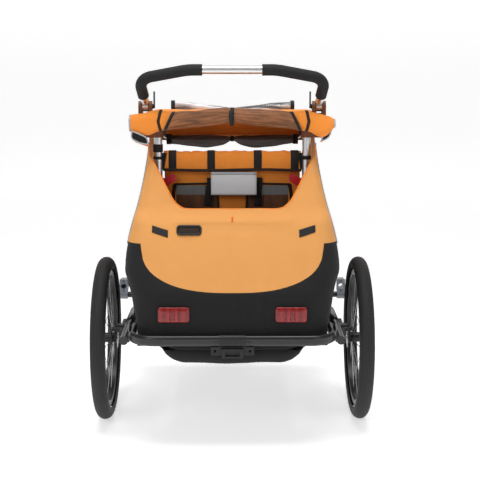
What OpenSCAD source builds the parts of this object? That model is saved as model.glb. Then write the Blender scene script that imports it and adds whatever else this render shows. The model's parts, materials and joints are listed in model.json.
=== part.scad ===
// Two-seat child bicycle trailer, set up as a stroller.
// Seen from behind: +X to the right, +Y forward in the direction of travel, +Z up.
// The floor under the tyres is Z = 0 and the origin is the middle of the footprint.
// Positions inside the modules are counted from the point on the floor below the wheel axles;
// in_place() carries them to the origin above.

/* [Wheels] */
// outside diameter of a main tyre
wheel_d = 496; // [400:2:560]
// width of a main tyre
tyre_w = 45; // [36:1:60]
// distance between the middles of the two main wheels
track = 774; // [740:2:860]
// number of spokes in a main wheel
spoke_count = 20; // [12:4:36]
// outside diameter of the front swivel wheel
caster_d = 200; // [160:5:240]
// width of the front swivel wheel
caster_w = 40; // [30:1:50]
// how far the front wheel is swivelled about its stem, in degrees
caster_turn = 20; // [0:5:30]

/* [Frame] */
// half the distance over the side rails
rail_out = 322; // [310:1:330]
// height of the side rails' middle above the floor
rail_z = 300; // [285:1:320]
// outside diameter of the side rails and of the roll hoop
main_tube_d = 25.4; // [22:0.2:28]
// outside diameter of the front cross tube
front_tube_d = 20; // [18:0.5:22]
// wall of every tube
tube_wall = 1.6; // [1.2:0.1:2.5]
// front cross tube, ahead of the wheel axles
front_tube_y = 410; // [380:5:440]
// rear face of the bumper, behind the wheel axles
bumper_y = 334; // [310:2:360]
// height of the bumper's section
bumper_h = 30; // [24:1:36]
// depth of the bumper's section
bumper_t = 18; // [14:1:18]
// inside radius of the bumper's corners, at mid section
bumper_bend = 70; // [50:5:90]
// distance between the two holes of the rear bracket
bracket_holes = 97; // [80:1:104]

/* [Roll cage] */
// height of the hinges that the cage folds on
shoulder_z = 480; // [470:1:490]
// half the distance between the upright stretches of the roll hoop
hoop_x = 222; // [212:1:226]
// height of the roll hoop's top tube
hoop_z = 925; // [880:5:945]
// front edge of the roof, ahead of the wheel axles
roof_y = 215; // [190:5:225]

/* [Handlebar] */
// height of the handlebar's middle above the floor
handle_z = 1060; // [1040:5:1090]
// how far the handlebar reaches behind its pivots
handle_reach = 105; // [80:5:120]
// outside diameter of the handlebar tube
handle_d = 24; // [20:1:26]
// outside diameter of the foam grips
grip_d = 33; // [30:1:36]

/* [Seat and fabric] */
// half the width of the tub
tub_x = 272; // [262:1:273]
// rear wall of the tub, behind the wheel axles
tub_y = 308; // [290:1:314]
// thickness of the stretched fabric panels
cloth = 4; // [3:0.5:5]
// height of the seat back's top edge
seat_top_z = 815; // [780:5:830]
// height of the seat's upper face
seat_z = 388; // [360:2:410]
// thickness of the seat cushion
seat_pad = 16; // [10:1:24]

/* [Hidden] */
$fn = 96;

// colours
orange = [0.90, 0.66, 0.38];
bright_orange = [0.96, 0.58, 0.24];
black = [0.10, 0.09, 0.10];
dark = [0.25, 0.24, 0.25];
silver = [0.80, 0.80, 0.81];
red = [0.68, 0.13, 0.12];
brown = [0.42, 0.26, 0.16];
clear_grey = [0.72, 0.72, 0.72];

// clearances
running = 0.05;
seated = 0.15;
gap = 0.3;

// bent tubes: how far a straight runs into a bend, and how much thicker the bend's wall is
bend_lap = 1;
bend_swell = 0.05;

// wheels and axles
wheel_r = wheel_d / 2;
wheel_x = track / 2;
axle_r = 6;
tyre_ring_r = wheel_r - tyre_w / 2;
rim_r = tyre_ring_r - 17.5;
rim_half = 13.5;
flange_r = 27;
flange_off = 19;
brake_ring_r = 34;
brake_notches = 12;
hub_in = wheel_x - 34;
hub_out = wheel_x + 21;

// suspension arm, between the rail and the wheel
arm_in = rail_out + 6.3;
arm_t = 17.4;
arm_out = arm_in + arm_t;
arm_pivot_y = 110;
arm_pivot_z = wheel_r + 17;
brake_pivot = [-38, wheel_r + 42];

// frame
main_r = main_tube_d / 2;
front_r = front_tube_d / 2;
rail_x = rail_out - main_r;
front_tube_z = rail_z - 3;
sleeve_r = main_r + 3.8;
bumper_mid_y = bumper_t / 2 - bumper_y;
bumper_mid_x = rail_x - main_r - bumper_t / 2 - 3.2;
bumper_z = rail_z + 18;
floor_z = rail_z - main_r - cloth - gap;
floor_top = floor_z + cloth;
tub_top = shoulder_z - 10;
tub_front_top = shoulder_z - 80;
tub_front_y = front_tube_y + 40;

// cage hinge: a lug on the hoop between two ears of the side frame
lug_x = rail_out - 22;
lug_t = 10;
ear_t = 6;
ear_r = 12;
pin_r = 6;

// handlebar joint: a lug on the bar between two ears of the socket
joint_x = hoop_x + 36;
joint_z = hoop_z + 28;
joint_lug = 16;
joint_ear = 12;
joint_r = 16;
handle_r = handle_d / 2;
handle_tilt = atan2(handle_z - joint_z, handle_reach);
handle_len = norm([handle_z - joint_z, handle_reach]);

// seat back and rear cover, each as a line of points [y, z] from the top down
seat_line = [[27, seat_top_z], [31, 700], [75, seat_z + 4]];
cover_line = [
    [-36, hoop_z - 87],
    [0.49 * tub_y - 301, shoulder_z + 184],
    [0.66 * tub_y - 407, shoulder_z + 152],
    [2 - tub_y, shoulder_z - 36]
];

// receivers at the ends of the front cross tube
receiver_x = wheel_x - 15;
receiver_w = 24;
receiver_z = front_tube_z + 32;
receiver_back = front_tube_y - 14;
receiver_front = front_tube_y + 30;
tow_pin_y = receiver_front + 22;
tow_len = 620;

// front swivel wheel
caster_r = caster_d / 2;
caster_stem_y = front_tube_y + 287;
caster_trail = 50;
caster_head_low = caster_d + 32;
caster_head_top = rail_z;
fork_in = caster_w / 2 + 4;

// middle of the footprint, from the bracket under the bumper to the front of the swivelled wheel
front_y = caster_stem_y - caster_trail * cos(caster_turn)
    + caster_r * cos(caster_turn) + (caster_w / 2 - 12) * sin(caster_turn);
middle_y = (front_y - bumper_y - 3) / 2;

// ---- helpers ----

module in_place() {
    translate([0, -middle_y, 0]) children();
}

// children as drawn on the right, and mirrored on the left
module both_sides() {
    children();
    mirror([1, 0, 0]) children();
}

module left_side() {
    mirror([1, 0, 0]) children();
}

function unit(v) = v / norm(v);

// frame whose Z runs along w from the point p
module aimed(p, w, x_hint = [1, 0, 0]) {
    side = unit(cross(w, x_hint));
    ahead = cross(side, w);
    multmatrix([
        [ahead.x, side.x, w.x, p.x],
        [ahead.y, side.y, w.y, p.y],
        [ahead.z, side.z, w.z, p.z],
        [0, 0, 0, 1]
    ]) children();
}

module ring(r_out, r_in) {
    difference() {
        circle(r = r_out);
        if (r_in > 0) circle(r = r_in);
    }
}

// round tube through the points, with the bend radius given for each inner point;
// the straight stretches run into the bends, whose wall is a hair thicker
module bent_tube(points, bends, r_out, r_in) {
    last = len(points) - 1;
    ways = [for (i = [0 : last - 1]) unit(points[i + 1] - points[i])];
    turns = [for (i = [1 : last - 1]) acos(ways[i - 1] * ways[i])];
    cuts = concat(0, [for (i = [0 : last - 2]) bends[i] * tan(turns[i] / 2)], 0);
    for (i = [0 : last - 1]) {
        first_lap = i > 0 ? bend_lap : 0;
        last_lap = i < last - 1 ? bend_lap : 0;
        length = norm(points[i + 1] - points[i]) - cuts[i] - cuts[i + 1] + first_lap + last_lap;
        hint = abs(ways[i].x) > 0.9 ? [0, 1, 0] : [1, 0, 0];
        aimed(points[i] + (cuts[i] - first_lap) * ways[i], ways[i], hint)
            linear_extrude(length) ring(r_out, r_in);
    }
    for (i = [1 : last - 1]) {
        into = ways[i - 1];
        inward = unit(ways[i] - (into * ways[i]) * into);
        up = cross(-inward, into);
        centre = points[i] - cuts[i] * into + bends[i - 1] * inward;
        multmatrix([
            [-inward.x, into.x, up.x, centre.x],
            [-inward.y, into.y, up.y, centre.y],
            [-inward.z, into.z, up.z, centre.z],
            [0, 0, 0, 1]
        ]) rotate_extrude(angle = turns[i - 1])
            translate([bends[i - 1], 0]) ring(r_out + bend_swell, r_in - bend_swell);
    }
}

// straight round tube along X
module cross_tube(half, r_out, r_in) {
    rotate([0, 90, 0]) translate([0, 0, -half])
        linear_extrude(2 * half) ring(r_out, r_in);
}

// cylinder along X from x1 to x2
module x_pin(x1, x2, r) {
    translate([x1, 0, 0]) rotate([0, 90, 0]) cylinder(h = x2 - x1, r = r);
}

function normal(a, b) = [a.y - b.y, b.x - a.x] / norm(b - a);

// which way, and how far for each unit of width, a strip's edge lies from its point i
function mitre(points, i) =
    i == 0 ? normal(points[0], points[1])
    : i == len(points) - 1 ? normal(points[i - 1], points[i])
    : let (n = normal(points[i - 1], points[i]), m = normal(points[i], points[i + 1]))
        (n + m) / (1 + n * m);

// flat strip of width t along a line of 2D points, with mitred corners
module strip(points, t) {
    last = len(points) - 1;
    polygon(concat(
        [for (i = [0 : last]) points[i] + t / 2 * mitre(points, i)],
        [for (i = [last : -1 : 0]) points[i] - t / 2 * mitre(points, i)]
    ));
}

// the same with round ends and round corners
module round_strip(points, t) {
    for (i = [0 : len(points) - 2]) {
        way = points[i + 1] - points[i];
        translate(points[i]) rotate(atan2(way.y, way.x))
            translate([0, -t / 2]) square([norm(way), t]);
        translate(points[i + 1]) circle(d = t);
    }
    translate(points[0]) circle(d = t);
}

// a [y, z] drawing pushed out along X from x1 to x2
module side_view(x1, x2) {
    translate([x1, 0, 0]) rotate([90, 0, 90]) linear_extrude(x2 - x1) children();
}

// an [x, z] drawing pushed out along Y from y1 to y2
module back_view(y1, y2) {
    translate([0, y2, 0]) rotate([90, 0, 0]) linear_extrude(y2 - y1) children();
}

module stadium(width, height) {
    r = min(width, height) / 2;
    square([width - (width > height ? 2 * r : 0), height - (width > height ? 0 : 2 * r)], center = true);
    for (s = [-1, 1])
        translate(width > height ? [s * (width / 2 - r), 0] : [0, s * (height / 2 - r)]) circle(r = r);
}

function shifted(points, by) = [for (p = points) p + by];

// ---- frame ----

module side_rail() {
    rear_end = -250;
    front_end = front_tube_y + 18;
    plug = 3;
    difference() {
        translate([rail_x, 0, rail_z]) rotate([90, 0, 0]) {
            translate([0, 0, -front_end])
                linear_extrude(front_end - rear_end) ring(main_r, main_r - tube_wall);
            for (z = [-front_end, -rear_end - plug])
                translate([0, 0, z]) cylinder(h = plug, r = main_r - tube_wall / 2);
        }
        translate([0, front_tube_y, front_tube_z])
            x_pin(rail_x - 2 * main_r, rail_x + 2 * main_r, front_r + seated);
    }
}

module side_rail_right() {
    color(black) in_place() side_rail();
}

module side_rail_left() {
    color(black) in_place() left_side() side_rail();
}

module front_cross_tube() {
    color(black) in_place() translate([0, front_tube_y, front_tube_z])
        cross_tube(receiver_x + receiver_w / 2 + 3, front_r, front_r - tube_wall);
}

module axle_cross_tube() {
    color(black) in_place() translate([0, arm_pivot_y, arm_pivot_z])
        cross_tube(rail_out - 28, main_r, main_r - tube_wall);
}

// straight stretch of the bumper along +Y
module bumper_leg(length) {
    rotate([90, 0, 0]) translate([0, 0, -length]) linear_extrude(length) bumper_section();
}

module bumper_section() {
    difference() {
        stadium(bumper_t, bumper_h);
        stadium(bumper_t - 2 * tube_wall, bumper_h - 2 * tube_wall);
    }
}

module rear_bumper() {
    straight = bumper_mid_x - bumper_bend;
    corner_y = bumper_mid_y + bumper_bend;
    color(black) in_place() difference() {
        translate([0, 0, bumper_z]) {
            translate([-straight, bumper_mid_y, 0]) rotate([0, 0, -90])
                bumper_leg(2 * straight);
            both_sides() {
                translate([straight, corner_y, 0]) rotate([0, 0, -90])
                    rotate_extrude(angle = 90) translate([bumper_bend, 0]) bumper_section();
                translate([bumper_mid_x, corner_y, 0]) bumper_leg(90);
            }
        }
        for (x = [-45, 45])
            translate([x, -bumper_y - 1, bumper_z - 4]) rotate([-90, 0, 0])
                cylinder(h = bumper_t / 2, r = 2.5);
    }
}

module bumper_sleeve() {
    sleeve_wall = 1.5;
    color(black) in_place() translate([-37.5, bumper_mid_y, bumper_z])
        rotate([0, 0, -90]) rotate([90, 0, 0]) translate([0, 0, -75]) linear_extrude(75)
        difference() {
            stadium(bumper_t + 2 * (sleeve_wall + seated), bumper_h + 2 * (sleeve_wall + seated));
            stadium(bumper_t + 2 * seated, bumper_h + 2 * seated);
        }
}

module bumper_screws() {
    color(silver) in_place() for (x = [-45, 45])
        translate([x, -bumper_y, bumper_z - 4]) rotate([-90, 0, 0]) {
            translate([0, 0, -2.5]) cylinder(h = 2.4, r = 4.5);
            translate([0, 0, -0.2]) cylinder(h = 7, r = 2.4);
        }
}

// bolt-on plate under the bumper, with a socket block in its middle
module rear_bracket() {
    plate_top = bumper_z - bumper_h / 2 - 2;
    hole_z = plate_top - 12;
    color(dark) in_place() difference() {
        union() {
            back_view(bumper_mid_y - 3, bumper_mid_y + 3)
                translate([-bracket_holes / 2 - 12, plate_top - 24]) square([bracket_holes + 24, 24]);
            back_view(bumper_mid_y - 12, bumper_mid_y + 14)
                translate([-30, plate_top - 30]) square([60, 26]);
        }
        for (s = [-1, 1])
            translate([s * bracket_holes / 2, bumper_mid_y - 4, hole_z]) rotate([-90, 0, 0])
                cylinder(h = 8, r = 4);
        back_view(bumper_mid_y - 13, bumper_mid_y - 4)
            translate([-20, plate_top - 25]) square([40, 16]);
    }
}

// plates that tie the bumper's legs to the rails
module corner_plates() {
    inner = rail_x - main_r - 3.2 + seated;
    color(black) in_place() both_sides() side_view(inner, inner + 3.2 - 2 * seated)
        difference() {
            polygon([
                [-255, bumper_z - 22], [-170, rail_z - 12], [-170, rail_z + 14],
                [-205, bumper_z + 30], [-228, bumper_z + 30], [-255, bumper_z + 10]
            ]);
            translate([-216, bumper_z + 20]) circle(r = 3);
        }
}

// cast side frame: sleeve on the rail, post up to the cage hinge, lug for the suspension arm
module side_frame() {
    sleeve_y1 = -26;
    sleeve_y2 = arm_pivot_y + 22;
    lug_in = rail_out - 36;
    lug_out = rail_out + 4;
    difference() {
        union() {
            translate([rail_x, sleeve_y2, rail_z]) rotate([90, 0, 0])
                cylinder(h = sleeve_y2 - sleeve_y1, r = sleeve_r);
            back_view(-20, 20) polygon([
                [rail_x, rail_z + 4], [rail_x - 25, rail_z + 18], [tub_x + 12, shoulder_z - 60],
                [tub_x + 12, shoulder_z - 14], [lug_x + lug_t / 2 + ear_t + gap, shoulder_z - 14],
                [lug_x + lug_t / 2 + ear_t + gap, shoulder_z - 24], [rail_out - 22, shoulder_z - 50],
                [rail_out - 22, rail_z + 26], [rail_x + 6, rail_z + 14]
            ]);
            for (x = [lug_x - lug_t / 2 - gap - ear_t, lug_x + lug_t / 2 + gap])
                side_view(x, x + ear_t) {
                    translate([0, shoulder_z]) circle(r = ear_r);
                    translate([-ear_r, shoulder_z - 15]) square([2 * ear_r, 15]);
                }
            translate([0, arm_pivot_y, arm_pivot_z]) x_pin(lug_in, lug_out, 19);
            side_view(lug_in + 4, lug_out)
                translate([arm_pivot_y - 19, arm_pivot_z]) square([38, rail_z - arm_pivot_z]);
        }
        translate([rail_x, sleeve_y2 + 1, rail_z]) rotate([90, 0, 0])
            cylinder(h = sleeve_y2 - sleeve_y1 + 2, r = main_r + seated);
        translate([0, 0, shoulder_z]) x_pin(lug_x - 20, lug_x + 20, pin_r + running);
        translate([0, arm_pivot_y, arm_pivot_z]) {
            x_pin(lug_in - 1, rail_out - 27, main_r + seated);
            x_pin(rail_out - 28, lug_out + 1, pin_r + running);
        }
    }
}

module side_frame_right() {
    color(black) in_place() side_frame();
}

module side_frame_left() {
    color(black) in_place() left_side() side_frame();
}

module pivot_pins() {
    color(silver) in_place() both_sides() translate([0, arm_pivot_y, arm_pivot_z]) {
        x_pin(rail_out - 26, arm_out + 0.5, pin_r);
        x_pin(arm_out + 0.4, arm_out + 4, 10);
    }
}

module hinge_pins() {
    reach = lug_t / 2 + ear_t + gap;
    color(silver) in_place() both_sides() translate([0, 0, shoulder_z]) {
        x_pin(lug_x - reach - 1, lug_x + reach + 0.2, pin_r);
        x_pin(lug_x + reach + 0.1, lug_x + reach + 4, 9);
    }
}

// ---- tub, seat and rear cover ----

module floor_panel() {
    front = front_tube_y - 24.2;
    pan_front = -70;
    rear = -tub_y + cloth + gap;
    half = tub_x - cloth - gap;
    pan = [
        [-205, floor_z + cloth / 2], [-192, floor_z - 14], [-150, floor_z - 40],
        [150, floor_z - 40], [192, floor_z - 14], [205, floor_z + cloth / 2]
    ];
    color(black) in_place() {
        translate([-half, pan_front, floor_z]) cube([2 * half, front - pan_front, cloth]);
        both_sides() {
            translate([205, rear + 80, floor_z]) cube([half - 205, pan_front - rear - 80, cloth]);
            translate([205, rear, floor_z]) cube([20, 80, cloth]);
            translate([half - 1, rear + 84, floor_z]) cube([rail_x - half, -34 - rear - 84, cloth]);
            translate([half - 1, arm_pivot_y + 30, floor_z])
                cube([rail_x - half, front - arm_pivot_y - 40, cloth]);
        }
        back_view(rear, pan_front) strip(pan, cloth);
        for (y = [rear, pan_front - cloth])
            back_view(y, y + cloth) polygon(pan);
    }
}

module tub_side() {
    rear = -tub_y + 92;
    side_view(tub_x - cloth, tub_x) polygon([
        [rear, floor_top + gap], [front_tube_y - 25, floor_top + gap],
        [front_tube_y - 25, rail_z + 12], [tub_front_y - 8, rail_z + 48],
        [tub_front_y - 3, tub_front_top], [60, tub_top], [rear, tub_top]
    ]);
}

module tub_side_right() {
    color(black) in_place() tub_side();
}

module tub_side_left() {
    color(black) in_place() left_side() tub_side();
}

module rounded_plan(half, rear, r) {
    translate([-half, rear + r]) square([2 * half, 200]);
    translate([-half + r, rear]) square([2 * (half - r), r + 1]);
    for (s = [-1, 1])
        translate([s * (half - r), rear + r]) circle(r = r);
}

module tub_rear() {
    corner = 85;
    top = shoulder_z - 39;
    color(black) in_place() translate([0, 0, floor_top + gap]) linear_extrude(top - floor_top - gap)
        intersection() {
            difference() {
                rounded_plan(tub_x, -tub_y, corner);
                rounded_plan(tub_x - cloth, -tub_y + cloth, corner - cloth);
            }
            translate([-tub_x, -tub_y]) square([2 * tub_x, 91.5]);
        }
}

module tub_front() {
    half = tub_x - cloth - gap;
    color(black) in_place() side_view(-half, half) strip([
        [front_tube_y - 22, floor_z + 2], [front_tube_y - 22, rail_z + 12],
        [tub_front_y - 5, rail_z + 52], [tub_front_y, tub_front_top - 2]
    ], cloth);
}

// slanting rear cover with the wide opening into the luggage space
module rear_panel() {
    sill = shoulder_z + 184;
    top = hoop_z - 86;
    color(orange) in_place() difference() {
        intersection() {
            side_view(-rail_out, rail_out) strip(cover_line, cloth);
            back_view(-tub_y - 20, 0) polygon([
                [-tub_x + 4, shoulder_z - 38], [tub_x - 4, shoulder_z - 38],
                [tub_x + 12, shoulder_z + 95], [hoop_x + 26, shoulder_z + 300],
                [hoop_x + 18, top], [-hoop_x - 18, top],
                [-hoop_x - 26, shoulder_z + 300], [-tub_x - 12, shoulder_z + 95]
            ]);
        }
        back_view(-180, 0) polygon([
            [-137, sill], [137, sill], [164, sill + 16], [184, sill + 46], [208, sill + 88],
            [hoop_x + 7, sill + 126], [hoop_x + 12, top + 10],
            [-hoop_x - 12, top + 10], [-hoop_x - 7, sill + 126],
            [-208, sill + 88], [-184, sill + 46], [-164, sill + 16]
        ]);
    }
}

// side of the cover, from the tub's edge up to the roof
module cover_side() {
    rear = shifted(cover_line, [9, 0]);
    intersection() {
        back_view(-tub_y, front_tube_y + 40) strip([
            [tub_x + 10, tub_front_top - 2], [rail_out - 8, shoulder_z + 20],
            [rail_out - 26, shoulder_z + 95], [hoop_x + 30, shoulder_z + 300],
            [hoop_x + 24, shoulder_z + 350], [hoop_x + 24, hoop_z]
        ], cloth);
        side_view(hoop_x, rail_out) polygon([
            rear[0], [20, rear[0].y], [24, hoop_z - 20], [60, hoop_z - 10],
            [150, hoop_z - 25], [roof_y + 10, hoop_z - 80],
            [tub_front_y - 12, tub_front_top + 4], [75, tub_top + 4], [45, shoulder_z + 20],
            [-tub_y + 44, shoulder_z + 20], rear[2], rear[1]
        ]);
    }
}

module cover_side_right() {
    color(orange) in_place() cover_side();
}

module cover_side_left() {
    color(orange) in_place() left_side() cover_side();
}

module seat_base() {
    half = tub_x - cloth - gap;
    seat_front = 300;
    color(black) in_place() side_view(-half, half) {
        translate([seat_line[2].x + 8, seat_z - seat_pad]) square([seat_front - seat_line[2].x - 16, seat_pad]);
        translate([seat_front - 8, seat_z - seat_pad / 2]) circle(d = seat_pad);
    }
}

module seat_back() {
    pad = 8;
    half = hoop_x - main_r - 3;
    color(bright_orange) in_place() side_view(-half, half) strip(seat_line, pad);
}

// four shoulder straps down the front of the seat back, two for each child
module harness() {
    web = 25;
    web_t = 2.4;
    line = shifted([
        seat_line[0] + 0.4 * (seat_line[1] - seat_line[0]), seat_line[1],
        seat_line[1] + 0.9 * (seat_line[2] - seat_line[1])
    ], [5.6, 0]);
    color(black) in_place() for (seat = [-1, 1], side = [-1, 1]) {
        x = seat * 126 + side * 56;
        side_view(x - web / 2, x + web / 2) strip(line, web_t);
    }
}

module rear_reflectors() {
    width = 88;
    height = 43;
    color(red) in_place() both_sides()
        translate([163 - width / 2, -tub_y - 7.2, rail_z + 67]) cube([width, 7, height]);
}

// ---- front end ----

// socket block on the end of the front cross tube
module receiver() {
    difference() {
        union() {
            side_view(receiver_x - receiver_w / 2, receiver_x + receiver_w / 2) {
                translate([front_tube_y, front_tube_z]) circle(r = front_r + 5);
                translate([receiver_back, receiver_z - 20]) square([receiver_front - receiver_back, 42]);
            }
            side_view(receiver_x - receiver_w / 2 - 2, receiver_x + receiver_w / 2 + 2)
                translate([receiver_back - 4, receiver_z - 26]) square([4.1, 50]);
        }
        translate([0, front_tube_y, front_tube_z])
            x_pin(receiver_x - 30, receiver_x + 30, front_r + seated);
        translate([receiver_x, receiver_back - 5, receiver_z]) rotate([-90, 0, 0])
            cylinder(h = receiver_front - receiver_back + 6, r = 9);
        for (z = [-16, 16])
            translate([receiver_x, receiver_back - 5, receiver_z + z + 1]) rotate([-90, 0, 0])
                cylinder(h = 12, r = 2.5);
    }
}

module receiver_right() {
    color(silver) in_place() receiver();
}

// the left receiver also carries the fork and the pin that the tow arm turns on
module receiver_left() {
    color(silver) in_place() left_side() {
        receiver();
        for (z = [receiver_z - 15, receiver_z + 9])
            translate([receiver_x, 0, z]) linear_extrude(6) {
                translate([0, tow_pin_y]) circle(r = 13);
                translate([-10, receiver_front - 0.1]) square([20, tow_pin_y - receiver_front]);
            }
        translate([receiver_x, tow_pin_y, receiver_z - 15.1]) cylinder(h = 30.2, r = 5);
    }
}

// tow arm, folded across the front of the tub
module tow_arm() {
    tongue = 27;
    eye_h = 17.4;
    color(dark) in_place() difference() {
        translate([-receiver_x, tow_pin_y, receiver_z]) {
            translate([0, 0, -eye_h / 2]) cylinder(h = eye_h, r = 13);
            translate([0, -8, -eye_h / 2]) cube([tongue + 1, 16, eye_h]);
            x_pin(tongue, tow_len - 20, 11);
            translate([tow_len, 0, -14]) cylinder(h = 28, r = 15);
            translate([tow_len - 24, -9, -9]) cube([20, 18, 18]);
        }
        translate([-receiver_x, tow_pin_y, receiver_z - 20]) cylinder(h = 40, r = 5 + running);
        translate([tow_len - receiver_x, tow_pin_y, receiver_z - 20]) cylinder(h = 40, r = 5);
    }
}

// arm from the front cross tube to the head that the swivel wheel's stem turns in
module caster_carrier() {
    arm_w = 34;
    color(black) in_place() difference() {
        union() {
            translate([0, front_tube_y, front_tube_z]) x_pin(-22, 22, front_r + 5);
            side_view(-arm_w / 2, arm_w / 2) polygon([
                [front_tube_y, front_tube_z - 14], [caster_stem_y, caster_head_low + 18],
                [caster_stem_y, caster_head_top - 8], [front_tube_y + 60, front_tube_z + 6],
                [front_tube_y, front_tube_z + 14]
            ]);
            translate([0, caster_stem_y, caster_head_low])
                cylinder(h = caster_head_top - caster_head_low, r = 20);
        }
        translate([0, front_tube_y, front_tube_z]) x_pin(-30, 30, front_r + seated);
        translate([0, caster_stem_y, caster_head_low - 1]) cylinder(h = 100, r = 8 + running);
    }
}

// the swivelled position of everything on the caster's stem
module swivelled() {
    in_place() translate([0, caster_stem_y, 0]) rotate([0, 0, caster_turn]) children();
}

module caster_fork() {
    crown_low = caster_d + 10;
    crown_top = caster_head_low - 1;
    leg_t = 6;
    color(black) swivelled() difference() {
        union() {
            translate([0, 0, crown_low + 2]) cylinder(h = caster_head_top - crown_low, r = 8);
            translate([0, 0, caster_head_top + 1]) cylinder(h = 3, r = 12);
            side_view(-fork_in - leg_t, fork_in + leg_t)
                translate([-20, crown_low]) square([40, crown_top - crown_low]);
            both_sides() side_view(fork_in, fork_in + leg_t) {
                round_strip([[-4, crown_low + 6], [-caster_trail, caster_r]], 26);
                translate([-20, crown_low]) square([40, crown_top - crown_low]);
            }
        }
        translate([0, -caster_trail, caster_r]) x_pin(-60, 60, 5 + seated);
    }
}

module caster_axle() {
    end = fork_in + 6;
    color(silver) swivelled() translate([0, -caster_trail, caster_r]) {
        x_pin(-end - 0.3, end + 0.3, 5);
        both_sides() x_pin(end + 0.2, end + 4, 8);
    }
}

module caster_wheel() {
    tread = 12;
    half = caster_w / 2;
    color(dark) swivelled() translate([0, -caster_trail, caster_r]) rotate([0, 90, 0])
        difference() {
            rotate_extrude() {
                translate([0, -half - 2]) square([16, caster_w + 4]);
                translate([0, -6]) square([caster_r - 20, 12]);
                translate([caster_r - 26, -half + tread]) square([26, caster_w - 2 * tread]);
                translate([caster_r - 26, -half]) square([26 - tread, caster_w]);
                for (s = [-1, 1])
                    translate([caster_r - tread, s * (half - tread)]) circle(r = tread);
            }
            translate([0, 0, -50]) cylinder(h = 100, r = 5 + running);
        }
}

// ---- roll cage ----

module roll_hoop() {
    knee_bend = 60;
    top_bend = 40;
    knee_z = shoulder_z + 210;
    foot = [lug_x - 4, 0, shoulder_z + 18];
    color(silver) in_place() {
        bent_tube([
            [-foot.x, foot.y, foot.z], [-hoop_x, 0, knee_z], [-hoop_x, 0, hoop_z],
            [hoop_x, 0, hoop_z], [hoop_x, 0, knee_z], foot
        ], [knee_bend, top_bend, top_bend, knee_bend], main_r, main_r - tube_wall);
        both_sides() difference() {
            union() {
                translate([0, 0, shoulder_z]) x_pin(lug_x - lug_t / 2, lug_x + lug_t / 2, ear_r);
                side_view(lug_x - lug_t / 2, lug_x + lug_t / 2)
                    translate([-8, shoulder_z]) square([16, 30]);
            }
            translate([0, 0, shoulder_z]) x_pin(lug_x - 20, lug_x + 20, pin_r + running);
        }
    }
}

// cuts that cope a tube's end to the roll hoop's uprights
module hoop_upright_cuts(low, high) {
    both_sides() translate([hoop_x, 0, low]) cylinder(h = high - low, r = main_r + seated);
}

// lighter tube that carries the roof forward of the roll hoop
module roof_hoop() {
    r = 9.5;
    start = main_r + r / 2;
    foot_z = hoop_z - 84;
    color(silver) in_place() difference() {
        bent_tube([
            [-hoop_x, start, foot_z], [-hoop_x, 70, hoop_z - 4], [-hoop_x, 150, hoop_z - 20],
            [-hoop_x, roof_y, hoop_z - 75], [hoop_x, roof_y, hoop_z - 75],
            [hoop_x, 150, hoop_z - 20], [hoop_x, 70, hoop_z - 4], [hoop_x, start, foot_z]
        ], [35, 60, 35, 35, 60, 35], r, r - tube_wall);
        hoop_upright_cuts(foot_z - 30, foot_z + 30);
    }
}

// clamps on the hoop that end in the forks of the handlebar's joints
module handle_sockets() {
    low = hoop_z - 64;
    inner = joint_x - joint_lug / 2 - gap - joint_ear;
    outer = joint_x + joint_lug / 2 + gap;
    top_block = joint_z - joint_r - 4;
    color(brown) in_place() both_sides() difference() {
        union() {
            translate([hoop_x, 0, low]) cylinder(h = 24, r = main_r + 4);
            translate([hoop_x, -joint_r, low]) cube([outer + joint_ear - hoop_x, 2 * joint_r, 24]);
            translate([inner, -joint_r, low]) cube([outer + joint_ear - inner, 2 * joint_r, top_block - low]);
            for (x = [inner, outer])
                side_view(x, x + joint_ear) {
                    translate([0, joint_z]) circle(r = joint_r);
                    translate([-joint_r, top_block - 1]) square([2 * joint_r, joint_z - top_block + 1]);
                }
            translate([0, 0, joint_z]) x_pin(inner + joint_ear + gap + 2, outer + joint_ear, 6);
        }
        translate([hoop_x, 0, low - 1]) cylinder(h = 120, r = main_r + seated);
        translate([0, 0, joint_z]) x_pin(inner - 1, inner + joint_ear + 0.1, 7 + running);
    }
}

module seat_bar() {
    bar_r = 8;
    bar_z = seat_top_z - 9;
    color(silver) in_place() difference() {
        translate([0, 14, bar_z]) cross_tube(hoop_x - 2, bar_r, bar_r - tube_wall);
        hoop_upright_cuts(bar_z - 2 * bar_r, bar_z + 2 * bar_r);
    }
}

module roof_cover() {
    half = hoop_x + 10;
    over = main_r + cloth / 2 + 1;
    color(bright_orange) in_place() side_view(-half, half) strip([
        [-22, hoop_z + over], [60, hoop_z + over], [150, hoop_z - 1],
        [roof_y + 16, hoop_z - 62], [roof_y + 20, hoop_z - 86]
    ], cloth);
}

// upper rear flap, rolled up and tied behind the hoop
module rolled_cover() {
    roll = 56;
    low = hoop_z - 63;
    high = hoop_z + 23;
    color(bright_orange) in_place() translate([0, -60, 0]) {
        both_sides() side_view(110, 299)
            translate([0, (low + high) / 2]) stadium(roll, high - low);
        side_view(-111, 111)
            translate([0, (low + high) / 2 + 12]) stadium(roll - 8, high - low - 26);
    }
}

// clear front window, rolled up on the roof
module clear_roll() {
    r = 12;
    color(clear_grey) in_place() translate([0, 60, hoop_z + main_r + cloth + 1.5 + r])
        x_pin(-186, 186, r);
}

// front insect screen, rolled up under the roof's front edge
module mesh_roll() {
    r = 13;
    color(dark) in_place() translate([0, roof_y - 25, hoop_z - 89]) x_pin(-205, 205, r);
}

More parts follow.
